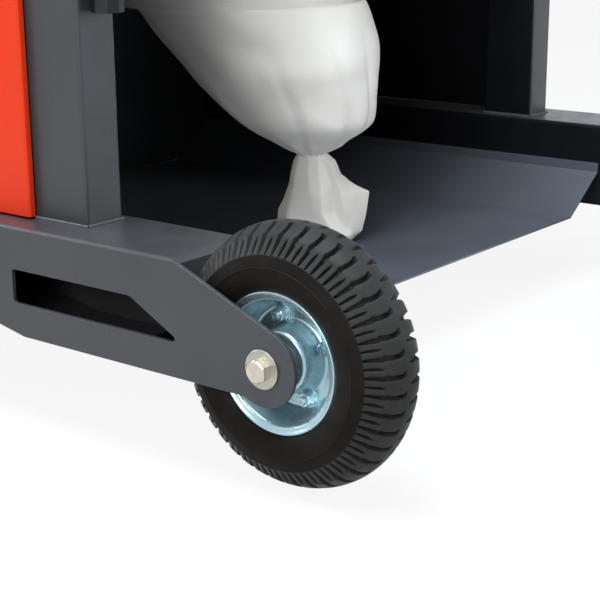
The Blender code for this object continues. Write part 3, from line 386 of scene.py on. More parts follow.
def toMesh(bm):
    bmesh.ops.recalc_face_normals(bm, faces=bm.faces)
    mesh = bpy.data.meshes.new("mesh")
    bm.to_mesh(mesh)
    bm.free()
    return mesh


def gridFaces(rows, columns, loopRows=False, loopColumns=True):  # quads over rows of points
    faces = []
    for j in range(rows if loopRows else rows - 1):
        n = (j + 1) % rows
        for k in range(columns if loopColumns else columns - 1):
            m = (k + 1) % columns
            faces.append((j * columns + k, j * columns + m, n * columns + m, n * columns + k))
    return faces


def filleted(points, radius, steps=4):  # round the inner corners of an open line
    line = [Vector(points[0])]
    for before, here, after in zip(points, points[1:], points[2:]):
        here = Vector(here)
        back, onward = Vector(before) - here, Vector(after) - here
        reach = min(radius, back.length * 0.48, onward.length * 0.48)
        start, end = here + back.normalized() * reach, here + onward.normalized() * reach
        for i in range(steps + 1):
            t = i / steps
            line.append(start * (1 - t) ** 2 + here * 2 * t * (1 - t) + end * t**2)
    return [*line, Vector(points[-1])]


def lathe(profile, count=96, closed=True, wobble=None):  # (radius, height) round local Z
    points = []
    for i in range(count):
        turn = fullTurn * i / count
        for radius, height in profile:
            points.append(polar(turn, radius + (wobble(turn, height) if wobble else 0), height))
    bm = bmesh.new()
    bm.from_mesh(meshOf(points, gridFaces(count, len(profile), True, closed)))
    if not closed:  # close the two ends with their rim polygons
        bmesh.ops.holes_fill(bm, edges=[e for e in bm.edges if e.is_boundary], sides=0)
    return toMesh(bm)


def axleFrame(at, out):  # local Z along out, local Y up
    z = Vector(out).normalized()
    y = Vector((0, 0, 1)) if abs(z.z) < 0.9 else Vector((0, 1, 0))
    x = y.cross(z).normalized()
    turn = Matrix((x, z.cross(x), z)).transposed().to_4x4()
    return Matrix.Translation(Vector(at)) @ turn


def joinRings(bm, rings):
    for a, b in zip(rings, rings[1:]):
        for i in range(len(a)):
            k = (i + 1) % len(a)
            bm.faces.new((a[i], a[k], b[k], b[i]))


def capped(bm, rings):  # a skin over the rings with both ends closed
    joinRings(bm, rings)
    bm.faces.new(rings[0])
    bm.faces.new(rings[-1])


def turned(bm, place, profile, count):  # one ring of points for each (radius, height)
    turns = [fullTurn * i / count for i in range(count)]
    return [[bm.verts.new(place @ polar(t, r, z)) for t in turns] for r, z in profile]


def addCone(bm, at, low, high, height, count=20):  # a stud or pole with a dished top
    profile = [(low, 0), (low, height * 0.7), (high, height)]
    profile += [(high * 0.55, height * 0.96), (high * 0.45, height * 0.7)]
    rings = turned(bm, Matrix.Translation(at), profile, count)
    joinRings(bm, rings)
    bm.faces.new(rings[-1])


def addWasher(bm, at, outer, inner, height, count=32):
    soft = min(0.3 * mm, height / 3)
    profile = [(inner, 0), (outer, 0), (outer, height - soft), (outer - soft, height), (inner, height)]
    rings = turned(bm, Matrix.Translation(at), profile, count)
    joinRings(bm, [*rings, rings[0]])


def addBolt(bm, at, flats, height, chamfer=0.8 * mm, spin=0.0, stud=0.0, studRadius=0.0):
    # hexagon head or nut with a turned chamfer, along local Z
    sixth, count = fullTurn / 6, 24
    rings = []
    for z in (0, height - chamfer, height):
        rings.append([])
        for i in range(count):
            turn = fullTurn * i / count
            flat = flats / 2 / math.cos((turn + sixth / 2) % sixth - sixth / 2)
            r = flats / 2 * 0.94 if z == height else min(flat, flats / math.sqrt(3))
            rings[-1].append(bm.verts.new(at + polar(turn + spin, r, z)))
    joinRings(bm, rings)
    bm.faces.new(rings[-1])
    if stud:
        addCone(bm, at + rise(height - 0.2 * mm), studRadius, studRadius * 0.82, stud)


# rear wheels; the tread's lengths are in mm
treadSet = {
    "blocks": 42,
    "crown": 125.2,
    "crownDrop": 9.2,
    "crownHalf": 24.5,
    "rib": 4.2,  # middle of the rib between the two rows of blocks
    "nearRow": 0.47,  # turns of the two rows of blocks, in pitches
    "farRow": 1.0,
    "grooveDepth": 6.4,
    "slotDepth": 5.0,
    "chamfer": 0.6,
    "cutsAbove": 99.0,  # the bead and the lower flank stay plain
}
crownRows = [3.2, 5.4, 6.1, 6.6, 8.2, 10.5, 13, 15.5, 18, 20.3, 22.3, 23.9, 24.5]

# the flank below the shoulder: (offset from the middle, radius)
flankRows = [
    (25.0, 115.3), (25.7, 114.3), (26.5, 113.2), (27.6, 111.7), (29.2, 109.6), (31.2, 107.0),
    (33.2, 104.4), (34.8, 102.3), (35.9, 100.9), (36.4, 100.4), (37.0, 99.9), (37.3, 99.0),
    (37.4, 98.4), (38.5, 95.0), (39.4, 91.0), (39.6, 89.7), (40.1, 89.3), (40.1, 88.7),
    (39.7, 88.3), (39.5, 85.0), (38.6, 80.0), (37.2, 75.5), (35.5, 71.5), (33.6, 68.4),
    (31.9, 67.0), (27.0, 64.0), (17.0, 59.5),
]

# a groove between two blocks: (offset from the rib, turn in pitches, half width, share of the depth)
nearGroove = [
    (1.9, 0.05, 2.5, 0), (2.2, 0.05, 2.9, 1.0), (4.0, 0.03, 2.9, 1.1), (6.3, -0.03, 2.5, 1.0),
    (9.0, -0.05, 2.4, 1.0), (13.0, -0.05, 2.4, 1.0), (16.0, -0.04, 2.4, 1.0), (18.3, 0.02, 2.6, 1.0),
    (20.2, 0.01, 2.8, 1.0), (21.6, -0.03, 2.5, 0.98), (25.0, 0.0, 2.1, 0.9), (29.0, 0.03, 1.7, 0.8),
    (31.6, 0.05, 1.1, 0.5), (32.3, 0.05, 0.6, 0), (70.0, 0.05, 0.6, 0),
]
farGroove = [
    (1.9, 0.0, 0.5, 0), (4.5, 0.0, 1.3, 0.5), (8.0, -0.04, 2.3, 0.9), (14.0, -0.08, 3.0, 1.0),
    (22.0, -0.02, 3.3, 1.0), (27.5, 0.0, 3.5, 1.05), (30.5, 0.0, 3.0, 1.0), (38.0, 0.04, 1.6, 0.7),
    (40.1, 0.05, 0.9, 0.4), (41.0, 0.05, 0.6, 0), (70.0, 0.05, 0.6, 0),
]

# the slot between the two legs of a block: (offset from the middle, half width, share of the depth)
legSlot = [
    (25.2, 0.25, 0), (26.0, 0.6, 0.8), (27.4, 1.25, 1.0), (29.5, 1.55, 1.0), (32.0, 1.4, 0.95),
    (34.5, 1.1, 0.8), (36.0, 0.8, 0.4), (36.5, 0.4, 0), (70.0, 0.4, 0),
]


def along(table, place):  # straight interpolation in a table whose first column rises
    if place <= table[0][0]:
        return list(table[0][1:])
    for low, high in zip(table, table[1:]):
        if place <= high[0]:
            t = (place - low[0]) / (high[0] - low[0])
            return [a + (b - a) * t for a, b in zip(low[1:], high[1:])]
    return list(table[-1][1:])


def treadColumns(s, groove, slot, ring):  # (share of the pitch, groove depth, slot depth) over one pitch
    pitch = fullTurn * ring / s["blocks"]
    edge, middle = s["chamfer"], pitch / 2
    start, stop = groove + edge, middle - slot - edge * 0.8
    columns = [(0, 1, 0), (groove * 0.78, 0.96, 0), (groove, 0.12, 0), (groove + edge * 0.35, 0.03, 0)]
    columns += [(start + (stop - start) * t, 0, 0) for t in (0, 0.33, 0.67, 1)]
    columns += [(middle - slot, 0, 0.12), (middle - slot * 0.7, 0, 0.92), (middle, 0, 1)]
    mirror = [(pitch - x, depth, cut) for x, depth, cut in reversed(columns[1:-1])]
    return [(x / pitch, depth, cut) for x, depth, cut in columns + mirror]


def tyreMesh(s, side):
    pitch = fullTurn / s["blocks"]
    crown = [-d for d in reversed(crownRows)] + [-1.4, 0, 1.4] + crownRows
    top = [(d, s["crown"] - s["crownDrop"] * (d / s["crownHalf"]) ** 2) for d in crown]
    loop = [(-d, r) for d, r in reversed(flankRows)] + top + flankRows
    rows = []
    for i, (d, r) in enumerate(loop):
        before, after = loop[i - 1], loop[(i + 1) % len(loop)]
        run = Vector((after[0] - before[0], after[1] - before[1])).normalized()
        lie = max(0, min(1, (abs(d) - 22) / 6))  # cuts go straight in on the crown, square to the shoulder
        inward = Vector((0, 1)).lerp(Vector((math.copysign(abs(run.y), d), abs(run.x))), lie).normalized()
        near = d > s["rib"]
        turn, width, depth = along(nearGroove if near else farGroove, abs(d - s["rib"]))
        turn = s["nearRow"] + turn if near else s["farRow"] - turn
        slotHalf, slotDepth = along(legSlot, abs(d))
        deep = (s["grooveDepth"] * depth, s["slotDepth"] * slotDepth) if r > s["cutsAbove"] else (0, 0)
        rows.append((d, r, inward, turn, deep, treadColumns(s, width, slotHalf, r)))
    count = len(rows[0][-1])
    points = []
    for block in range(s["blocks"]):
        for c in range(count):
            for d, r, inward, turn, deep, columns in rows:
                share, groove, slot = columns[c]
                angle = (block + share + turn) * pitch
                cut = inward * (deep[0] * groove + deep[1] * slot)
                radius = (r - cut.y) * mm
                points.append((side * (d - cut.x) * mm, radius * math.cos(angle), radius * math.sin(angle)))
    bm = bmesh.new()
    bm.from_mesh(meshOf(points, gridFaces(s["blocks"] * count, len(loop), True)))
    return toMesh(bm)


rimSet = {
    "lip": 33.9,  # mm from the wheel's middle
    "sheet": 2.4,
    "fromLip": [  # radius and how far behind the lip
        (66.9, 1.7), (66.2, 0.2), (65.2, 0), (64.0, 0.7), (62.8, 1.5), (59.2, 2.6), (57.4, 8), (54.0, 20),
    ],
    "fromSheet": [  # radius and how far out of the middle sheet
        (50.4, 2.8), (47.0, 0.2), (35.6, 0.2), (33.2, 2.4), (31.4, 8), (30.2, 22), (27.6, 25.4),
        (18.8, 26), (17.4, 25.4),
    ],
    "back": [(17.4, 0.2), (50, 0.2), (52, 6), (56.4, 15), (60.2, 28.4)],
    "studRing": 40.2 * mm,
    "studs": 4,
    "studTurn": 22,
    "washers": ((9.2, 5, 1.4), (7.4, 4.6, 1.7)),  # outer and inner radius, height
    "nut": (13 * mm, 6.5 * mm, 0.8 * mm),  # flats, height, chamfer
    "stud": (3.2 * mm, 4 * mm),  # height and radius
}


def rimProfile(s):  # visible face from the lip inwards, then the back of the sheet out again
    face = [(r, s["lip"] - drop) for r, drop in s["fromLip"]]
    face += [(r, s["sheet"] + lift) for r, lift in s["fromSheet"]]
    back = [*s["back"], (66.4, s["lip"] - 2.5)]
    return filleted(inMm(face), 2.2 * mm) + [Vector(p) for p in inMm(back)]


def rearWheel(word, side, s=rimSet):
    body, title, node = "rear_wheel_" + word, word.title(), "tyre_" + word
    mid = middleOf(node)
    tread, place = tyreMesh(treadSet, side), Matrix.Translation(mid)
    piece("tyreTread" + title, tread, tyreRubber, 32, place, body, node)
    for kind, out in (("Outer", side), ("Inner", -side)):
        place, node = axleFrame(mid, (out, 0, 0)), "rim_%s_%s" % (kind.lower(), word)
        piece("rim" + kind + title, lathe(rimProfile(s), 128), wheelZinc, 38, place, body, node)
    bm = bmesh.new()
    for i in range(s["studs"]):
        turn = math.radians(90 - side * (90 - s["studTurn"]) + 90 * i)
        at = polar(turn, s["studRing"], (s["sheet"] + 0.2) * mm)
        for washer in inMm(s["washers"]):
            addWasher(bm, at, *washer)
            at = at + rise(washer[2])
        addBolt(bm, at, *s["nut"], turn + 0.3, *s["stud"])
    place = axleFrame(mid, (side, 0, 0))
    piece("rimNuts" + title, toMesh(bm), frameZinc, 30, place, body)


axleSet = {
    "washer": 18.3 * mm, "washerHeight": 2.2 * mm, "shank": 8 * mm, "shankInset": 7 * mm,
    "flats": 20 * mm, "head": 9.2 * mm, "chamfer": 1.4 * mm,
}


def axleBolt(word, s=axleSet):
    node = "axle_bolt_" + word
    low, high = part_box(node)
    mid = middleOf(node)
    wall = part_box("rail_" + word)
    for kind, face, out in (("Head", wall[1].x, 1), ("Nut", wall[0].x, -1)):
        place = axleFrame((face, mid.y, mid.z), (out, 0, 0))
        bm = bmesh.new()
        addWasher(bm, rise(0.15 * mm), s["washer"], s["shank"], s["washerHeight"], 64)
        piece("axleWasher" + kind + word.title(), toMesh(bm), washerSteel, 28, place)
        bm = bmesh.new()
        addBolt(bm, rise(s["washerHeight"] + 0.2 * mm), s["flats"], s["head"], s["chamfer"])
        piece("axle" + kind + word.title(), toMesh(bm), boltSteel, 28, place)
    long = high.x - low.x - 2 * s["shankInset"]
    line = filleted([(0, long), (s["shank"], long), (s["shank"], 0), (0, 0)], 0.5 * mm)
    place = axleFrame((low.x + s["shankInset"], mid.y, mid.z), (1, 0, 0))
    shank = lathe(line, 32, False)
    piece("axleShank" + word.title(), shank, brightSteel, 40, place, standsFor=node)


for word, side in sides:
    rearWheel(word, side)
    axleBolt(word)
print("rear wheels made")

# the bag: full above, gathered at the tie, its tail flaring down to the tray
bagSet = {
    "tieY": middleOf("bag_tie").y,
    "tieZ": middleOf("bag_tie").z,
    "topZ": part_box("bag")[1].z,
    "topRadius": (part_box("bag_clamp")[1].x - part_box("bag_clamp")[0].x) / 2 - 3.6 * mm,
    "columns": 288,
    "rows": 110,
    "pleats": 15,
    "film": 0.25 * mm,
    "levels": [  # height and radius in mm, share of the way from the hopper's axis to the tie
        (395, 151, 0.24), (355, 140, 0.46), (325, 129, 0.61), (300, 118, 0.70), (280, 106.5, 0.79),
        (262, 95.5, 0.875), (248, 84.5, 0.935), (236, 68, 0.96), (226, 50, 0.975), (218, 37.5, 1.0),
        (212.5, 27, 1.0),
    ],
    "neck": [(1.0, 18, 1.0), (-0.5, 16.6, 1.0)],  # more levels, with their heights from the tie
    "folds": [  # angle and width in degrees, share of the radius
        (-34, 7, -0.03), (-8, 6, -0.035), (14, 13, 0.035), (35, 5, -0.045), (56, 12, 0.03),
        (73, 4, -0.045), (87, 9, 0.04), (104, 4, -0.055), (117, 7, 0.035), (131, 4, -0.045),
        (165, 10, 0.04), (205, 6, -0.04), (262, 8, -0.04), (300, 9, 0.04),
    ],
}


def curveAt(levels, place):  # smooth curve through the levels
    i = min(int(place), len(levels) - 2)
    t = place - i
    near = levels[max(i - 1, 0)], levels[i], levels[i + 1], levels[min(i + 2, len(levels) - 1)]
    return [
        0.5 * (2 * q + (r - p) * t + (2 * p - 5 * q + 4 * r - v) * t * t + (3 * q - p - 3 * r + v) * t**3)
        for p, q, r, v in zip(*near)
    ]


def bagShape(s):
    random.seed(7)
    hopper = middleOf("bag_clamp")
    levels = [(s["topZ"], s["topRadius"], 0.0), (s["topZ"] - 20 * mm, 158 * mm, 0.04)]
    levels += [(height * mm, radius * mm, lean) for height, radius, lean in s["levels"]]
    levels += [(s["tieZ"] + height * mm, radius * mm, lean) for height, radius, lean in s["neck"]]
    phases = [random.uniform(0, fullTurn) for _ in range(3)]
    points = []
    for j in range(s["rows"]):
        z, radius, lean = curveAt(levels, j * (len(levels) - 1) / (s["rows"] - 1))
        gather = max(0.0, min(1.0, (s["topZ"] - z) / (s["topZ"] - s["tieZ"])))
        hang = math.sin(math.pi * gather)
        for k in range(s["columns"]):
            turn = fullTurn * k / s["columns"]
            u, v = math.cos(turn), math.sin(turn)
            wander = 0.5 * noise.noise(Vector((u * 1.1, v * 1.1, gather * 1.7)))
            pleat = math.cos(s["pleats"] * turn + 5 * wander + phases[0])
            depth = radius * 0.085 * pleat * gather**14
            depth += radius * 0.012 * math.cos(7 * (turn + wander) + phases[1]) * gather**3
            depth += radius * 0.02 * math.cos(3 * turn + phases[2] + 1.2 * gather) * hang
            for angle, width, size in s["folds"]:  # long soft creases that run down to the neck
                away = (math.degrees(turn + 0.25 * wander) - angle + 180) % 360 - 180
                depth += radius * size * math.exp(-((away / width) ** 2)) * gather**2.4
            depth += 3.5 * mm * noise.noise(Vector((u * 2.3, v * 2.3, gather * 5))) * hang
            y = hopper.y + (s["tieY"] - hopper.y) * lean
            points.append(((radius + depth) * u, y + (radius + depth) * v, z))
    return meshOf(points, gridFaces(s["rows"], s["columns"]))


# outlines of the loose end in mm, from the tie down: across, out, across, out ...
tailOutlines = (
    (-17, 2, -13, 12, -3, 17, 7, 16, 12, 13, 17, 8, 19, 2, 20, 0, 18, -6, 8, -15, -6, -16, -15, -8),
    (-20, 1, -16, 13, -3, 19, 8, 19, 13, 14, 20, 10, 24, 4, 26, 0, 23, -7, 9, -18, -7, -18, -17, -9),
    (-23, 0, -18, 14, -3, 22, 9, 22, 15, 14, 26, 12, 31, 4, 32, 0, 27, -8, 10, -20, -8, -20, -19, -10),
    (-25, 0, -20, 16, -4, 25, 10, 26, 19, 15, 30, 14, 34, 5, 36, 0, 31, -9, 12, -23, -10, -23, -22, -12),
    (-27, 0, -21, 18, -4, 28, 11, 29, 22, 16, 31, 15, 37, 5, 39, -1, 35, -10, 14, -25, -11, -25, -23, -13),
    (-28, 0, -22, 20, -4, 30, 12, 32, 25, 18, 35, 17, 43, 6, 49, -4, 41, -10, 16, -27, -12, -27, -25, -14),
    (-30, 0, -24, 21, -4, 32, 12, 35, 27, 18, 37, 19, 46, 8, 62, -6, 44, -10, 17, -29, -13, -29, -27, -14),
    (-33, 0, -26, 22, -4, 33, 13, 37, 28, 19, 38, 21, 50, 10, 78, -8, 48, -10, 18, -30, -14, -30, -29, -15),
    (-42, 0, -30, 26, -2, 36, 15, 41, 30, 24, 42, 23, 54, 12, 73, -6, 52, -12, 20, -34, -16, -33, -34, -16),
    (-44, 0, -32, 28, 2, 38, 25, 43, 38, 27, 48, 22, 58, 10, 71, -4, 54, -14, 22, -36, -18, -35, -38, -17),
    (-43, 0, -32, 29, 10, 37, 38, 40, 48, 28, 54, 18, 60, 8, 67, -2, 52, -14, 22, -36, -18, -35, -38, -17),
    (-41, 0, -30, 27, 14, 32, 43, 31, 49, 22, 52, 12, 53, 6, 56, -2, 46, -14, 20, -34, -18, -33, -36, -16),
)
tailSet = {
    "heights": (111.5, 107, 102, 94, 84, 76, 69, 61, 42, 26, 12, 2),  # mm above the tray, outline by outline
    "across": (-0.618, 0.786), "out": (0.786, 0.618), "perEdge": 14, "perStep": 6,
}


def tailShape(s, tail=tailSet):  # broad flat folds, and one corner that sticks out to the rear
    floor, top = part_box("bag_tail")[0].z, s["tieZ"] + 0.3 * mm
    heights, perStep = tail["heights"], tail["perStep"]
    rows = (len(tailOutlines) - 1) * perStep + 1
    points = []
    for j in range(rows):
        i = min(j // perStep, len(tailOutlines) - 2)
        t = (j - i * perStep) / perStep
        low, high = tailOutlines[i:i + 2]
        share = (heights[i] + (heights[i + 1] - heights[i]) * t) / heights[0]
        spots = [a + (b - a) * t for a, b in zip(low, high)]
        level = [Vector(spot) for spot in zip(spots[::2], spots[1::2])]
        height = floor + (top - floor) * share
        ring = []
        for here, onward in zip(level, level[1:] + level[:1]):
            ring += [here.lerp(onward, n / tail["perEdge"]) for n in range(tail["perEdge"])]
        total = len(ring)
        for k in range(total):
            spot = ring[k - 2] + ring[k - 1] + ring[k] * 2
            spot = (spot + ring[(k + 1) % total] + ring[(k + 2) % total]) / 6
            spot = spot * (1 + 0.05 * noise.noise(Vector((spot.x * 0.06, spot.y * 0.06, height * 40))))
            flat = Vector(tail["across"]) * spot.x + Vector(tail["out"]) * spot.y
            points.append((flat.x * mm, s["tieY"] + flat.y * mm, height))
    return meshOf(points, gridFaces(rows, total))


def thicken(obj, wall):
    smooth = obj.modifiers.new("smooth", "SUBSURF")
    smooth.levels = smooth.render_levels = 1
    solid = obj.modifiers.new("film", "SOLIDIFY")
    solid.thickness = wall
    solid.offset = -1


def dustBag(s):
    for name, mesh, node in (("bagFilm", bagShape(s), "bag"), ("bagTail", tailShape(s), "bag_tail")):
        thicken(piece(name, mesh, paleFilm, 180, standsFor=node), s["film"])
    ring = filleted(inMm([(13, -3), (17.6, -3), (18.4, 0), (17.6, 3), (13, 3)]), 1 * mm)
    tie = lathe(ring, wobble=lambda turn, z: 0.9 * mm * math.cos(17 * turn + 40 * z))
    place = Matrix.Translation((0, s["tieY"], s["tieZ"]))
    piece("bagTwist", tie, paleFilm, 60, place, standsFor="bag_tie")


dustBag(bagSet)
print("bag made")


# sheet metal, tubes and the other parts that keep their CAD shape
def finishCad(node, mat, bevel):
    obj = cad[node]
    obj.data.materials.clear()
    obj.data.materials.append(mat)
    for face in obj.data.polygons:
        face.use_smooth = True
    obj.modifiers.new("weld", "WELD").merge_threshold = 0.01 * mm
    soft = obj.modifiers.new("softEdges", "BEVEL")
    soft.width = bevel
    soft.segments = 2
    soft.limit_method = "ANGLE"
    soft.angle_limit = math.radians(34)
    soft.use_clamp_overlap = True
    even = obj.modifiers.new("evenNormals", "WEIGHTED_NORMAL")
    even.weight = 60
    even.keep_sharp = False


def bothSides(*starts):
    return [start + word for start in starts for word, side in sides]


cadFinishes = [  # finish, width of the soft edges in mm, nodes
    (greyCoat, 0.6, bothSides("rail_", "post_rear_", "post_front_", "upper_side_")),
    (greyCoat, 0.6, ["upper_cross_front", "upper_cross_rear", "battery_deck", "hopper_deck"]),
    (greyCoat, 0.6, ["hopper", "broom_housing"]),
    (trayCoat, 0.4, ["tray"]),
    (blackCoat, 0.6, ["bulkhead", "broom_arms", "motor_head", "push_handle", "lift_lever"]),
    (orangeCoat, 0.8, [*bothSides("side_panel_"), "front_panel", "battery_lid"]),
    (blackRubber, 0.5, ["rubber_flap", "front_skirt"]),
    (blackPlastic, 0.8, ["suction_duct", *bothSides("battery_"), "control_box", "lever_knob"]),
    (brightSteel, 0.4, ["bag_clamp", "broom_shaft", "key_switch", *bothSides("latch_")]),
    (frameZinc, 0.4, bothSides("hub_", "caster_plate_", "caster_fork_")),
]
for mat, bevel, nodes in cadFinishes:
    for node in nodes:
        finishCad(node, mat, bevel * mm)
for word, side in sides:  # painted shade: the faces that look at the bag bay, and the side panels' top and bottom edges, get a near-black coat for the shadow inside the machine
    for start in ("side_panel_", "rail_", "post_rear_", "post_front_"):
        mesh = cad[start + word].data
        mesh.materials.append(paintedShadeCoat)
        for face in mesh.polygons:
            if face.normal.x * side < -0.5 or start == "side_panel_" and abs(face.normal.z) > 0.5:
                face.material_index = 1
print("frame finished")

# weld beads round the posts and the small lips under the rails
weldSet = {"radius": 2.3 * mm, "pitch": 2.6 * mm, "ripple": 0.34, "sides": 10, "headZ": 639.9 * mm}


def weldBead(name, node, z, s=weldSet):
    random.seed(len(name))
    low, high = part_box(node)
    corners = ((low.x, low.y, z), (high.x, low.y, z), (high.x, high.y, z), (low.x, high.y, z))
    corners = [Vector(corner) for corner in corners]
    path = []
    for a, b in zip(corners, corners[1:] + corners[:1]):
        steps = max(2, round((b - a).length / s["pitch"] * 4))
        path += [a.lerp(b, i / steps) for i in range(steps)]
    turns = [fullTurn * k / s["sides"] for k in range(s["sides"])]
    bm = bmesh.new()
    rings = []
    for i, here in enumerate(path):
        run = (path[(i + 1) % len(path)] - path[i - 1]).normalized()
        side = run.orthogonal().normalized()
        other = run.cross(side)
        size = s["radius"] * (1 - s["ripple"] * abs(math.sin(math.pi * i / 4)) + random.uniform(-0.05, 0.05))
        rings.append([bm.verts.new(here + size * (math.cos(t) * side + math.sin(t) * other)) for t in turns])
    joinRings(bm, [*rings, rings[0]])
    piece(name, toMesh(bm), greyCoat, 60)


lipSet = {
    "inner": 409 * mm, "outer": 440 * mm, "z": 95 * mm, "thick": 3 * mm, "upright": 14 * mm, "cut": 6 * mm,
    "front": -205 * mm, "rear": -128 * mm,  # from the rear axle
}


def railLip(word, side, s=lipSet):
    x0, x1, z, t = s["inner"], s["outer"], s["z"], s["thick"]
    line = [(x0, z + s["upright"]), (x0, z), (x1, z)]
    back = [(x1, z + t), (x0 + t, z + t), (x0 + t, z + s["upright"])]
    profile = filleted(line, 2.5 * mm, 3) + filleted(back, 1 * mm, 3)
    bm = bmesh.new()
    rings = []
    for share, cut in ((0, s["cut"]), (0.08, 0), (0.92, 0), (1, s["cut"])):
        y = wheelMid.y + s["front"] + (s["rear"] - s["front"]) * share
        rings.append([bm.verts.new((side * min(p[0], x1 - cut), y, p[1])) for p in profile])
    capped(bm, rings)
    # the lip is coloured near-black as painted shade under the rail
    piece("railLip" + word.title(), toMesh(bm), paintedShadeCoat, 35)


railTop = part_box("post_rear_left")[0].z
for word, side in sides:
    railLip(word, side)
    for row in ("rear", "front"):
        for end, z in (("foot", railTop), ("head", weldSet["headZ"])):
            weldBead(end + "Weld" + row.title() + word.title(), "post_%s_%s" % (row, word), z)
print("welds and lips made")

# screws with their washers: shares of the head's radius and height
screwSet = {"radius": 6.2 * mm, "height": 3.6 * mm}
screwProfile = [
    (1.45, 0.0), (1.45, 0.24), (1.38, 0.3), (1.02, 0.3),
    (1.0, 0.3), (1.0, 0.44), (0.93, 0.8), (0.74, 1.14), (0.5, 1.3), (0.44, 1.25), (0.42, 0.6),
]


def buttonScrews(name, spots, out, s=screwSet):
    profile = [(s["radius"] * r, s["height"] * z + 0.1 * mm) for r, z in screwProfile]
    bm = bmesh.new()
    for spot in spots:
        capped(bm, turned(bm, axleFrame(spot, out), profile, 24))
    piece(name, toMesh(bm), brightSteel, 35)


louvreSet = {
    "length": 130 * mm, "height": 15 * mm, "proud": 6 * mm, "pitch": 24 * mm,
    "across": 30, "down": 10,
}


def louvres(name, middle, out, count, s=louvreSet):  # pressed hoods that open downwards
    place = axleFrame(middle, out)
    shares = [2 * i / s["across"] - 1 for i in range(s["across"] + 1)]
    bm = bmesh.new()
    for n in range(count):
        level = (n - (count - 1) / 2) * s["pitch"]
        last = None
        for j in range(s["down"] + 2):  # the last row goes back to the sheet; its faces fill the openings under the hoods with black as painted shade
            v = min(j / s["down"], 1)
            back = j > s["down"]
            y = level + s["height"] * (0.5 - v)
            row = []
            for u in shares:
                proud = s["proud"] * (1 - abs(u) ** 5) * math.sin(v * math.pi / 2) ** 1.3
                z = 0.05 * mm if back else 0.08 * mm + proud
                row.append(bm.verts.new(place @ Vector((u * s["length"] / 2, y, z))))
            for i in range(s["across"] if last else 0):
                bm.faces.new((last[i], last[i + 1], row[i + 1], row[i])).material_index = int(back)
            last = row
    obj = piece(name, toMesh(bm), orangeCoat, 40)
    # the second finish, black, is painted shade in the openings under the hoods
    obj.data.materials.append(blackCoat)


# where the panels are screwed on, in mm
panelSet = {
    "top": 662, "middle": 445, "foot": 235, "ends": (-603, 180), "topRow": (-603, -405, -207, -9, 180),
    "footRow": (-603, -405, -207), "frontRow": (-446, -223, 0, 223, 446), "frontHeights": (328, 662),
    "deckAcross": (-446, 446), "deckAlong": (-190, 30, 250), "sideLouvres": (-500, 560), "frontLouvres": 500,
}
wideSet = {**louvreSet, "length": 260 * mm}


def panelFittings(s):
    panelOut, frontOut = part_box("side_panel_left")[1].x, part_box("front_panel")[0].y
    for word, side in sides:
        x = side * panelOut
        spots = [(y, s["top"]) for y in s["topRow"]] + [(y, s["middle"]) for y in s["ends"]]
        spots += [(y, s["foot"]) for y in s["footRow"]]
        buttonScrews("panelScrews" + word.title(), [(x, y * mm, z * mm) for y, z in spots], (side, 0, 0))
        louvres("panelLouvres" + word.title(), (x, *(v * mm for v in s["sideLouvres"])), (side, 0, 0), 5)
    spots = [(x * mm, frontOut, z * mm) for z in s["frontHeights"] for x in s["frontRow"]]
    buttonScrews("frontScrews", spots, (0, -1, 0))
    louvres("frontLouvres", (0, frontOut, s["frontLouvres"] * mm), (0, -1, 0), 6, wideSet)
    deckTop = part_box("hopper_deck")[1].z
    spots = [(x * mm, y * mm, deckTop) for x in s["deckAcross"] for y in s["deckAlong"]]
    buttonScrews("deckScrews", spots, (0, 0, 1))


panelFittings(panelSet)


def sweep(name, path, section, mat, body):  # section: (side, up) points round the path
    bm = bmesh.new()
    rings = []
    for i, here in enumerate(path):
        run = (path[min(i + 1, len(path) - 1)] - path[max(i - 1, 0)]).normalized()
        up = Vector((0, 0, 1)) if abs(run.z) < 0.95 else Vector((0, 1, 0))
        across = run.cross(up).normalized()
        up = across.cross(run)
        rings.append([bm.verts.new(here + across * a + up * b) for a, b in section])
    capped(bm, rings)
    piece(name, toMesh(bm), mat, 40, body=body)


def softRectangle(width, height, corner, steps=4):
    points = []
    for cx, cy, start in ((1, 1, 0), (-1, 1, 90), (-1, -1, 180), (1, -1, 270)):
        for i in range(steps + 1):
            a = math.radians(start + 90 * i / steps)
            x = cx * (width / 2 - corner) + corner * math.cos(a)
            points.append((x, cy * (height / 2 - corner) + corner * math.sin(a)))
    return points


lidSet = {
    "handle": 130 * mm, "reach": 24 * mm, "lift": 6 * mm, "bar": (10 * mm, 14 * mm, 3 * mm),
    "ribs": (-0.30, 0.0, 0.30), "ribLength": 0.62, "ribWidth": 16 * mm, "ribSpread": 2.4, "ribCorner": 7 * mm,
    "ribLevels": ((1.0, 0.1), (0.86, 1.2), (0.62, 2.2), (0.3, 2.5)),  # share of the width, mm above the lid
}


def lidParts(s):
    low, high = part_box("battery_lid")
    z, half = (low.z + high.z) / 2 + s["lift"], s["handle"] / 2
    near, far = low.y + 1 * mm, low.y - s["reach"]
    path = filleted([(-half, near, z), (-half, far, z), (half, far, z), (half, near, z)], 12 * mm, 6)
    sweep("lidHandle", path, softRectangle(*s["bar"]), blackPlastic, "battery_lid")
    midY, long, wide = (low.y + high.y) / 2, (high.y - low.y) * s["ribLength"], s["ribWidth"]
    for n, share in enumerate(s["ribs"]):  # low pressed ribs along the lid
        x = share * (high.x - low.x)
        bm = bmesh.new()
        rings = []
        for part, lift in s["ribLevels"]:
            across, corner = wide * part * s["ribSpread"], s["ribCorner"] * part
            rounded = softRectangle(across, long - wide * (1 - part), corner, 8)
            rings.append([bm.verts.new((x + a, midY + b, high.z + lift * mm)) for a, b in rounded])
        capped(bm, rings)
        piece("lidRib%d" % n, toMesh(bm), orangeCoat, 50, body="battery_lid")


lidParts(lidSet)


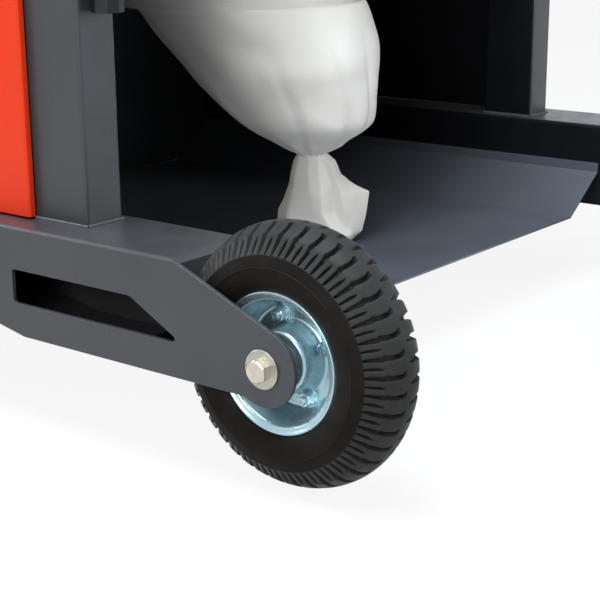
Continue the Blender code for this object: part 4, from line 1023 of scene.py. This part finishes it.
def radiusAt(node, z, mid):  # the widest reach of a turned CAD node near a height
    place = cad[node].matrix_world
    spots = [place @ v.co for v in cad[node].data.vertices]
    near = sorted(spots, key=lambda p: abs(p.z - z))[:24]
    return max(math.hypot(p.x - mid[0], p.y - mid[1]) for p in near)


headSet = {
    "middle": (0, 56.9 * mm), "low": 768 * mm, "high": 838 * mm, "fins": 54, "proud": 4.2 * mm, "steps": 10,
    "half": 2.2 * mm, "sunk": 2 * mm,
    "cap": [(0, 0), (46, 0), (46, 5), (38, 9), (16, 10), (14, 6), (0, 6)],  # mm
}


def motorFins(s):
    foot, top = (radiusAt("motor_head", s[end], s["middle"]) for end in ("low", "high"))
    bm = bmesh.new()
    for n in range(s["fins"]):
        out = polar(fullTurn * n / s["fins"])
        side = Vector((-out.y, out.x, 0))
        rings = []
        for i in range(s["steps"] + 1):
            share = i / s["steps"]
            end = math.sin(math.pi * share) ** 0.35
            wide = side * s["half"] * (0.7 + 0.3 * end)
            base = Vector((*s["middle"], s["low"] + (s["high"] - s["low"]) * share))
            base += out * (foot + (top - foot) * share - s["sunk"])
            tip = base + out * (s["sunk"] + s["proud"] * end)
            corners = (base - wide, tip - wide * 0.7, tip + wide * 0.7, base + wide)
            rings.append([bm.verts.new(corner) for corner in corners])
        capped(bm, rings)
    fins = piece("motorFins", toMesh(bm), blackCoat, 40)
    soft = fins.modifiers.new("softEdges", "BEVEL")
    soft.width, soft.segments = 0.6 * mm, 2
    cap = lathe(filleted(inMm(s["cap"]), 2.5 * mm), 64, False)
    place = Matrix.Translation((*s["middle"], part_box("motor_head")[1].z - 1 * mm))
    piece("motorCap", cap, blackPlastic, 40, place)


motorFins(headSet)
print("upper fittings made")

# roller broom: tufts in helical rows on a core
broomSet = {
    "core": 46 * mm, "rows": 9, "perRow": 44, "twist": 0.9, "blades": 7, "splay": 6.5 * mm, "blade": 1.5 * mm,
    "margin": 9 * mm, "rooted": 3 * mm, "short": 0.3 * mm, "uneven": 2.5 * mm,
}


def rollerBroom(s):
    mid, reach, half = halvesOf("roller_broom")
    random.seed(11)
    bm = bmesh.new()
    corners = [(math.cos(fullTurn * k / 3), math.sin(fullTurn * k / 3)) for k in range(3)]
    for row in range(s["rows"]):
        for n in range(s["perRow"]):
            share = (n + 0.5) / s["perRow"]
            x = 2 * (half - s["margin"]) * share - half + s["margin"]
            turn = fullTurn * (row / s["rows"] + s["twist"] * (share - 0.5) / 2)
            for b in range(s["blades"]):
                lean = fullTurn * b / s["blades"] + random.uniform(-0.4, 0.4)
                far = s["splay"] * (0.25 if b == 0 else random.uniform(0.7, 1.1))
                length = reach - s["short"] - random.uniform(0, s["uneven"])
                root = s["core"] - s["rooted"]
                rings = []
                for t in (0, 0.35, 0.7, 1.0):
                    r = root + (length - root) * t
                    bend = turn + (far * math.sin(lean) * t**1.4) / r
                    size = s["blade"] * (1 - 0.45 * t)
                    across = x + far * math.cos(lean) * t**1.3
                    centre = Vector((across, r * math.cos(bend), r * math.sin(bend)))
                    tangent = Vector((0, -math.sin(bend), math.cos(bend)))
                    ring = [centre + Vector((size * a, 0, 0)) + tangent * size * c for a, c in corners]
                    rings.append([bm.verts.new(p) for p in ring])
                joinRings(bm, rings)
                bm.faces.new(rings[-1])
    place = Matrix.Translation(mid)
    piece("broomTufts", toMesh(bm), bristleNylon, 60, place, "roller", "roller_broom")
    wide = s["core"] + 6 * mm
    core = [(13 * mm, 4 * mm - half), (wide, 1 * mm - half)]
    core += [(wide, 5 * mm - half), (s["core"], 7 * mm - half)]
    core += [(r, -z) for r, z in reversed(core)]
    drum = lathe(filleted(core, 1.2 * mm), 64)
    piece("broomCore", drum, blackPlastic, 40, axleFrame(mid, (1, 0, 0)), "roller")


rollerBroom(broomSet)

casterSet = {
    "bore": 6.2 * mm, "boss": 13 * mm,
    # share of the radius, and mm behind the face
    "web": ((0.60, 4.5), (0.66, 1.2), (0.86, 1.0), (0.97, 3.4), (1.0, 7.5)),
    "hub": 0.68, "nut": 10 * mm, "nutHeight": 3.4 * mm,
}


def casterWheel(word, s=casterSet):
    node = "caster_wheel_" + word
    mid, r, half = halvesOf(node)
    face = [(s["bore"], half), (s["boss"], half), (s["boss"] + 1 * mm, half - 3 * mm)]
    face += [(r * share, half - back * mm) for share, back in s["web"]]
    profile = filleted(face + [(a, -b) for a, b in reversed(face)], 1.4 * mm)
    place = axleFrame(mid, (1, 0, 0))
    disc = lathe(profile)
    wheel = piece("casterWheel" + word.title(), disc, blackRubber, 35, place, node, node)
    wheel.data.materials.append(greyNylon)
    for polygon in wheel.data.polygons:
        if math.hypot(polygon.center.x, polygon.center.y) < r * s["hub"]:
            polygon.material_index = 1
    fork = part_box("caster_fork_" + word)
    for edge, out in ((fork[1].x, 1), (fork[0].x, -1)):
        bm = bmesh.new()
        addBolt(bm, rise(-0.6 * mm), s["nut"], s["nutHeight"], 0.6 * mm)
        place = axleFrame((edge - out * 2.4 * mm, mid.y, mid.z), (out, 0, 0))
        name = "casterNut%s%d" % (word.title(), out > 0)
        piece(name, toMesh(bm), frameZinc, 30, place, "caster_" + word)


gripSet = {"bore": 16.1 * mm, "ribs": 22, "margin": 7 * mm, "valley": 2.6 * mm, "crest": 1.3 * mm}


def ribbedGrip(word, s=gripSet):
    node = "grip_" + word
    mid, r, half = halvesOf(node)
    end = [(s["bore"], -half), (r, -half), (r, -half + 4 * mm), (r - 1.8 * mm, -half + 5.5 * mm)]
    profile, step = list(end), 2 * (half - s["margin"]) / s["ribs"]
    for i in range(s["ribs"]):
        z = -half + s["margin"] + step * i
        profile += [(r - s["valley"], z), (r - s["crest"], z + step * 0.3), (r - s["crest"], z + step * 0.7)]
    profile += [(a, -z) for a, z in reversed(end)]
    grip = lathe(filleted(profile, 0.8 * mm, 3), 72)
    place = axleFrame(mid, (1, 0, 0))
    piece("grip" + word.title(), grip, blackRubber, 50, place, standsFor=node)


for word, side in sides:
    casterWheel(word)
    ribbedGrip(word)

filterSet = {
    "pleats": 56, "depth": 5.5 * mm, "valley": 6.2 * mm,
    "inside": 30 * mm, "ring": 10 * mm, "ringInside": 34 * mm,
}


def pleatedFilter(s):
    mid, half, r = halvesOf("filter_cartridge")
    tall = half - s["ring"]

    def wave(turn, z):
        return s["depth"] * math.cos(s["pleats"] * turn) if abs(z) < tall else 0

    rows = [(r - s["valley"], (tall + 1 * mm) * (i / 5 - 1)) for i in range(11)]
    inner = [(r - s["inside"], z) for _, z in reversed(rows)]
    pleats = lathe(rows + inner, 8 * s["pleats"], True, wave)
    place = Matrix.Translation(mid)
    piece("filterPleats", pleats, filterFelt, 70, place, standsFor="filter_cartridge")
    bore, low, high = r - s["ringInside"], 0.1 * mm, s["ring"] - 0.1 * mm
    for name, z in (("Top", tall), ("Foot", -half)):
        ring = filleted([(bore, low), (r, low), (r, high), (bore, high), (bore, low)], 2 * mm)
        place = Matrix.Translation(mid + rise(z))
        piece("filterRing" + name, lathe(ring[:-1]), blackRubber, 40, place)


batterySet = {
    "cells": 6, "cellPitch": 32 * mm, "firstCell": 40 * mm, "capRow": 18 * mm,
    "pole": 28 * mm, "poleRow": 48 * mm,
    "cap": (11 * mm, 3 * mm, 4 * mm), "capTop": (13 * mm, 3.6 * mm), "post": (9 * mm, 7.6 * mm, 16 * mm),
    "terminal": (15 * mm, 9.2 * mm, 9 * mm), "barUp": 15 * mm, "barRise": 12 * mm, "barRamp": 40 * mm,
    "bar": (20 * mm, 3 * mm, 1.2 * mm),
}


def batteryTops(word, s=batterySet):
    low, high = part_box("battery_" + word)
    midY, top = (low.y + high.y) / 2, high.z + 0.1 * mm
    caps = bmesh.new()
    for i in range(s["cells"]):
        at = Vector((low.x + s["firstCell"] + i * s["cellPitch"], midY + s["capRow"], top))
        addWasher(caps, at, *s["cap"])
        addBolt(caps, at + rise(3.4 * mm), *s["capTop"])
    piece("cellCaps" + word.title(), toMesh(caps), greyNylon, 35)
    poles = bmesh.new()
    for x in (low.x + s["pole"], high.x - s["pole"]):
        at = Vector((x, midY - s["poleRow"], top))
        addCone(poles, at, *s["post"])
        addWasher(poles, at + rise(3.9 * mm), *s["terminal"])
    lead = plainSteel("lead" + word.title(), (0.42, 0.42, 0.43), 0.45)
    piece("batteryPoles" + word.title(), toMesh(poles), lead, 35)


def joiningBar(s):  # flat copper bar between the two inner poles
    low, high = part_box("battery_left")
    end, y, z = low.x + s["pole"], (low.y + high.y) / 2 - s["poleRow"], high.z + s["barUp"]
    rest, raised = end - s["barRamp"], z + s["barRise"]
    path = filleted([(-end, y, z), (-rest, y, raised), (rest, y, raised), (end, y, z)], 20 * mm, 6)
    sweep("batteryBar", path, softRectangle(*s["bar"]), copperBar, "chassis")


pleatedFilter(filterSet)
for word, side in sides:
    batteryTops(word)
joiningBar(batterySet)
print("broom, casters, grips, filter and batteries made")

# switches and dial on the control box, in mm
stopSet = {
    "stem": [(0, 0), (7.8, 0), (7.8, 12.6)],  # ends short of its bore so that it can travel
    "tall": 22.4,
    "collar": [(9.2, 0.1), (15.5, 0.1), (15.5, 0.9), (14, 1.6), (9.2, 1.6)],
}


def stopButton(s):
    mid, _, r = halvesOf("stop_button")
    r, tall = r / mm, s["tall"]
    head = [(r - 2.4, 12.8), (r, 14), (r, 18.2), (r - 2.2, 21), (r * 0.55, 22.2), (0, tall)]
    knob = lathe(filleted(inMm(s["stem"] + head), 1.4 * mm), 72, False)
    place = axleFrame((mid.x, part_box("stop_button")[1].y - tall * mm, mid.z), (0, 1, 0))
    piece("stopKnob", knob, redPlastic, 45, place, "stop_button", "stop_button")
    collar = lathe(filleted(inMm(s["collar"]), 0.5 * mm), 64)
    place = axleFrame((mid.x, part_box("control_box")[1].y, mid.z), (0, 1, 0))
    piece("stopCollar", collar, paleDial, 40, place)


stopButton(stopSet)

faceSet = {
    "bezel": [(0, 1.2), (14.5, 1.2), (15, 3.6), (18, 3.8), (19, 0), (0, 0)],
    "disc": [(0, 1.3), (14, 1.3), (14, 1.6), (0, 1.6)],
    "dialAt": (0, 950),
    "marks": 11,
    "rockerAt": (-90, 944),
    "lamp": [(0, 4.6), (3, 4.2), (4.4, 2), (4.5, 0), (0, 0)],
    "lampsAt": ((90, 962), (78, 962)),
    "screwsAt": [(x, z) for x in (-102, 102) for z in (907, 985)],
    "screw": {"radius": 2.6 * mm, "height": 1.8 * mm},
}


def controlFace(s):
    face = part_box("control_box")[1].y + 0.1 * mm

    def onFace(spot):
        return axleFrame((spot[0] * mm, face, spot[1] * mm), (0, 1, 0))

    place = onFace(s["dialAt"])
    bezel = lathe(filleted(inMm(s["bezel"]), 0.8 * mm), 64, False)
    piece("dialBezel", bezel, blackPlastic, 35, place)
    piece("dialFace", lathe(inMm(s["disc"]), 64, False), paleDial, 35, place)
    bars = []  # scale marks and the needle: turn, (out, half width) at both ends, foot and top
    for i in range(s["marks"]):
        half = 0.32 if i % 5 else 0.6
        bars.append((215 - 25 * i, (10.2, half), (13.0, half), 1.55, 1.85))
    bars.append((120, (-3, 0.9), (11.5, 0.2), 1.7, 2.2))
    bm = bmesh.new()
    for degrees, (near, nearHalf), (far, farHalf), foot, top in bars:
        out = polar(math.radians(degrees))
        side = Vector((-out.y, out.x, 0))
        corners = (
            out * near - side * nearHalf, out * far - side * farHalf,
            out * far + side * farHalf, out * near + side * nearHalf,
        )
        rings = [[bm.verts.new((c + rise(z)) * mm) for c in corners] for z in (foot, top)]
        joinRings(bm, rings)
        bm.faces.new(rings[1])
    piece("dialMarks", toMesh(bm), blackPlastic, 35, place)
    bm = bmesh.new()
    for w, h, z0, z1, tilt in ((18, 28, 0, 2.6, 0), (13, 22, 2.0, 5.4, 1.6)):  # frame and rocker
        rings = []
        for share, z in ((1, z0), (1, (z0 + z1) / 2), (0.9, z1)):
            rounded = softRectangle(w * share * mm, h * share * mm, 2 * mm * share)
            rings.append([bm.verts.new((a, b, z * mm + tilt * b / h * (z > z0))) for a, b in rounded])
        capped(bm, rings)
    piece("rockerSwitch", toMesh(bm), blackPlastic, 35, onFace(s["rockerAt"]))
    lamp = filleted(inMm(s["lamp"]), 1 * mm)
    for n, spot in enumerate(s["lampsAt"]):
        piece("chargeLamp%d" % n, lathe(lamp, 32, False), redPlastic, 60, onFace(spot))
    spots = [(x * mm, face, z * mm) for x, z in s["screwsAt"]]
    buttonScrews("boxScrews", spots, (0, 1, 0), s["screw"])


controlFace(faceSet)

# saddle clamps that hold the handle on the rear posts
clampSet = {
    "tube": 16 * mm, "strap": 2.5 * mm, "ear": 6.2 * mm, "tall": 22 * mm, "out": 446.5 * mm,
    "at": (452 * mm, 604 * mm), "screw": {"radius": 2.4 * mm, "height": 2.6 * mm},
}


def saddleClamps(word, side, s=clampSet):
    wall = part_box("post_rear_" + word)[1].y
    x, y = side * s["out"], wall + s["tube"] + 0.4 * mm
    r0, r1 = s["tube"] + 0.2 * mm, s["tube"] + s["strap"]
    foot, end = -s["tube"], r1 + s["ear"]
    arc = [math.radians(a) for a in range(-8, 189, 14)]
    outer = [(r1 * math.cos(a), r1 * math.sin(a)) for a in arc]
    inner = [(r0 * math.cos(a), max(r0 * math.sin(a), foot)) for a in reversed(arc)]
    loop = [(end, foot + s["strap"]), *outer, (-end, foot + s["strap"]), (-end, foot), *inner, (end, foot)]
    bm = bmesh.new()
    for z in s["at"]:
        ends = (z - s["tall"] / 2, z + s["tall"] / 2)
        capped(bm, [[bm.verts.new((x + a, y + b, level)) for a, b in loop] for level in ends])
    piece("handleClamps" + word.title(), toMesh(bm), frameZinc, 30)
    out, seat = r1 + s["ear"] * 0.52, wall + s["strap"] + 0.5 * mm
    spots = [(x + way * out, seat, z) for z in s["at"] for way in (-1, 1)]
    buttonScrews("clampScrews" + word.title(), spots, (0, 1, 0), s["screw"])


for word, side in sides:
    saddleClamps(word, side)
print("control face and clamps made")

stageSet = {
    "size": 30, "floor": (0.58, 0.58, 0.58), "glow": 0.9, "mirrored": 0.95, "low": 0.05, "high": 0.4,
    "lowAt": 0.35, "highAt": 0.95, "tint": (0.90, 0.95, 1.0),
}


def addFloor(s):
    mat, tree, shader = newMaterial("floorPaper", s["floor"], 0.9)
    put(shader, Specular_IOR_Level=0.0)
    path = addNode(tree, "LightPath")
    seen = maths(tree, "MAXIMUM", path.outputs["Is Camera Ray"], path.outputs["Is Glossy Ray"])
    seen = maths(tree, "MAXIMUM", seen, path.outputs["Is Transmission Ray"])
    white = addNode(tree, "Emission", Color=(1, 1, 1, 1), Strength=1.0)
    blendInto(tree, maths(tree, "MULTIPLY", seen, s["glow"]), shader, white)
    far = s["size"]
    mesh = meshOf([(-far, -far, 0), (far, -far, 0), (far, far, 0), (-far, far, 0)], [(0, 1, 2, 3)])
    mesh.materials.append(mat)
    floor = newObject("floor", mesh)


def addSky(s):  # white to the eye, dim and soft to everything else
    world = bpy.data.worlds.new("studio")
    bpy.context.scene.world = world
    world.use_nodes = True
    tree = world.node_tree
    sky = tree.nodes["Background"]
    path = addNode(tree, "LightPath")
    seen = maths(tree, "MAXIMUM", path.outputs["Is Camera Ray"], path.outputs["Is Transmission Ray"])
    way = addNode(tree, "SeparateXYZ")
    tree.links.new(addNode(tree, "TexCoord").outputs["Generated"], way.inputs[0])
    height = mapped(tree, way.outputs["Z"], s["lowAt"], s["highAt"], s["low"], s["high"])
    feed(tree, sky.inputs["Color"], mixColour(tree, seen, s["tint"], (1.0, 1.0, 1.0)))
    glossy = maths(tree, "MULTIPLY", path.outputs["Is Glossy Ray"], s["mirrored"])
    lit = addNode(tree, "Mix", data_type="FLOAT")
    for socket, value in ((0, seen), (2, maths(tree, "MAXIMUM", height, glossy)), (3, 1.0)):
        feed(tree, lit.inputs[socket], value)
    tree.links.new(lit.outputs[0], sky.inputs["Strength"])


lampSet = [  # name, place, aim, size, watts, colour
    ("rearSoftbox", (-1.6, 3.0, 1.3), (0.1, 0.4, 0.15), 1.4, 38, (0.98, 0.99, 1.0)),
    ("topSoftbox", (0.9, 1.0, 3.2), (0.4, 0.4, 0.2), 1.8, 70, (0.92, 0.96, 1.0)),
    ("leftSoftbox", (0.85, 0.2, 3.0), (0.45, 0.2, 0.2), 1.3, 115, (0.84, 0.92, 1.0)),
    ("fillSoftbox", (2.6, 1.0, 1.1), (0.1, 0.2, 0.2), 1.3, 30, (1.0, 0.99, 0.97)),
    ("frontSoftbox", (1.2, -3.0, 1.6), (0.1, -0.3, 0.3), 1.6, 40, (1.0, 1.0, 1.0)),
]


def addLamps(lamps):
    for name, at, aim, size, power, colour in lamps:
        lamp = bpy.data.lights.new(name, "AREA")
        lamp.shape = "DISK"
        lamp.size = size
        lamp.energy = power
        lamp.color = colour
        obj = newObject(name, lamp)
        obj.location = at
        obj.rotation_mode = "QUATERNION"
        obj.rotation_quaternion = (Vector(aim) - Vector(at)).to_track_quat("-Z", "Y")


addFloor(stageSet)
addSky(stageSet)
addLamps(lampSet)
print("stage and lamps set")
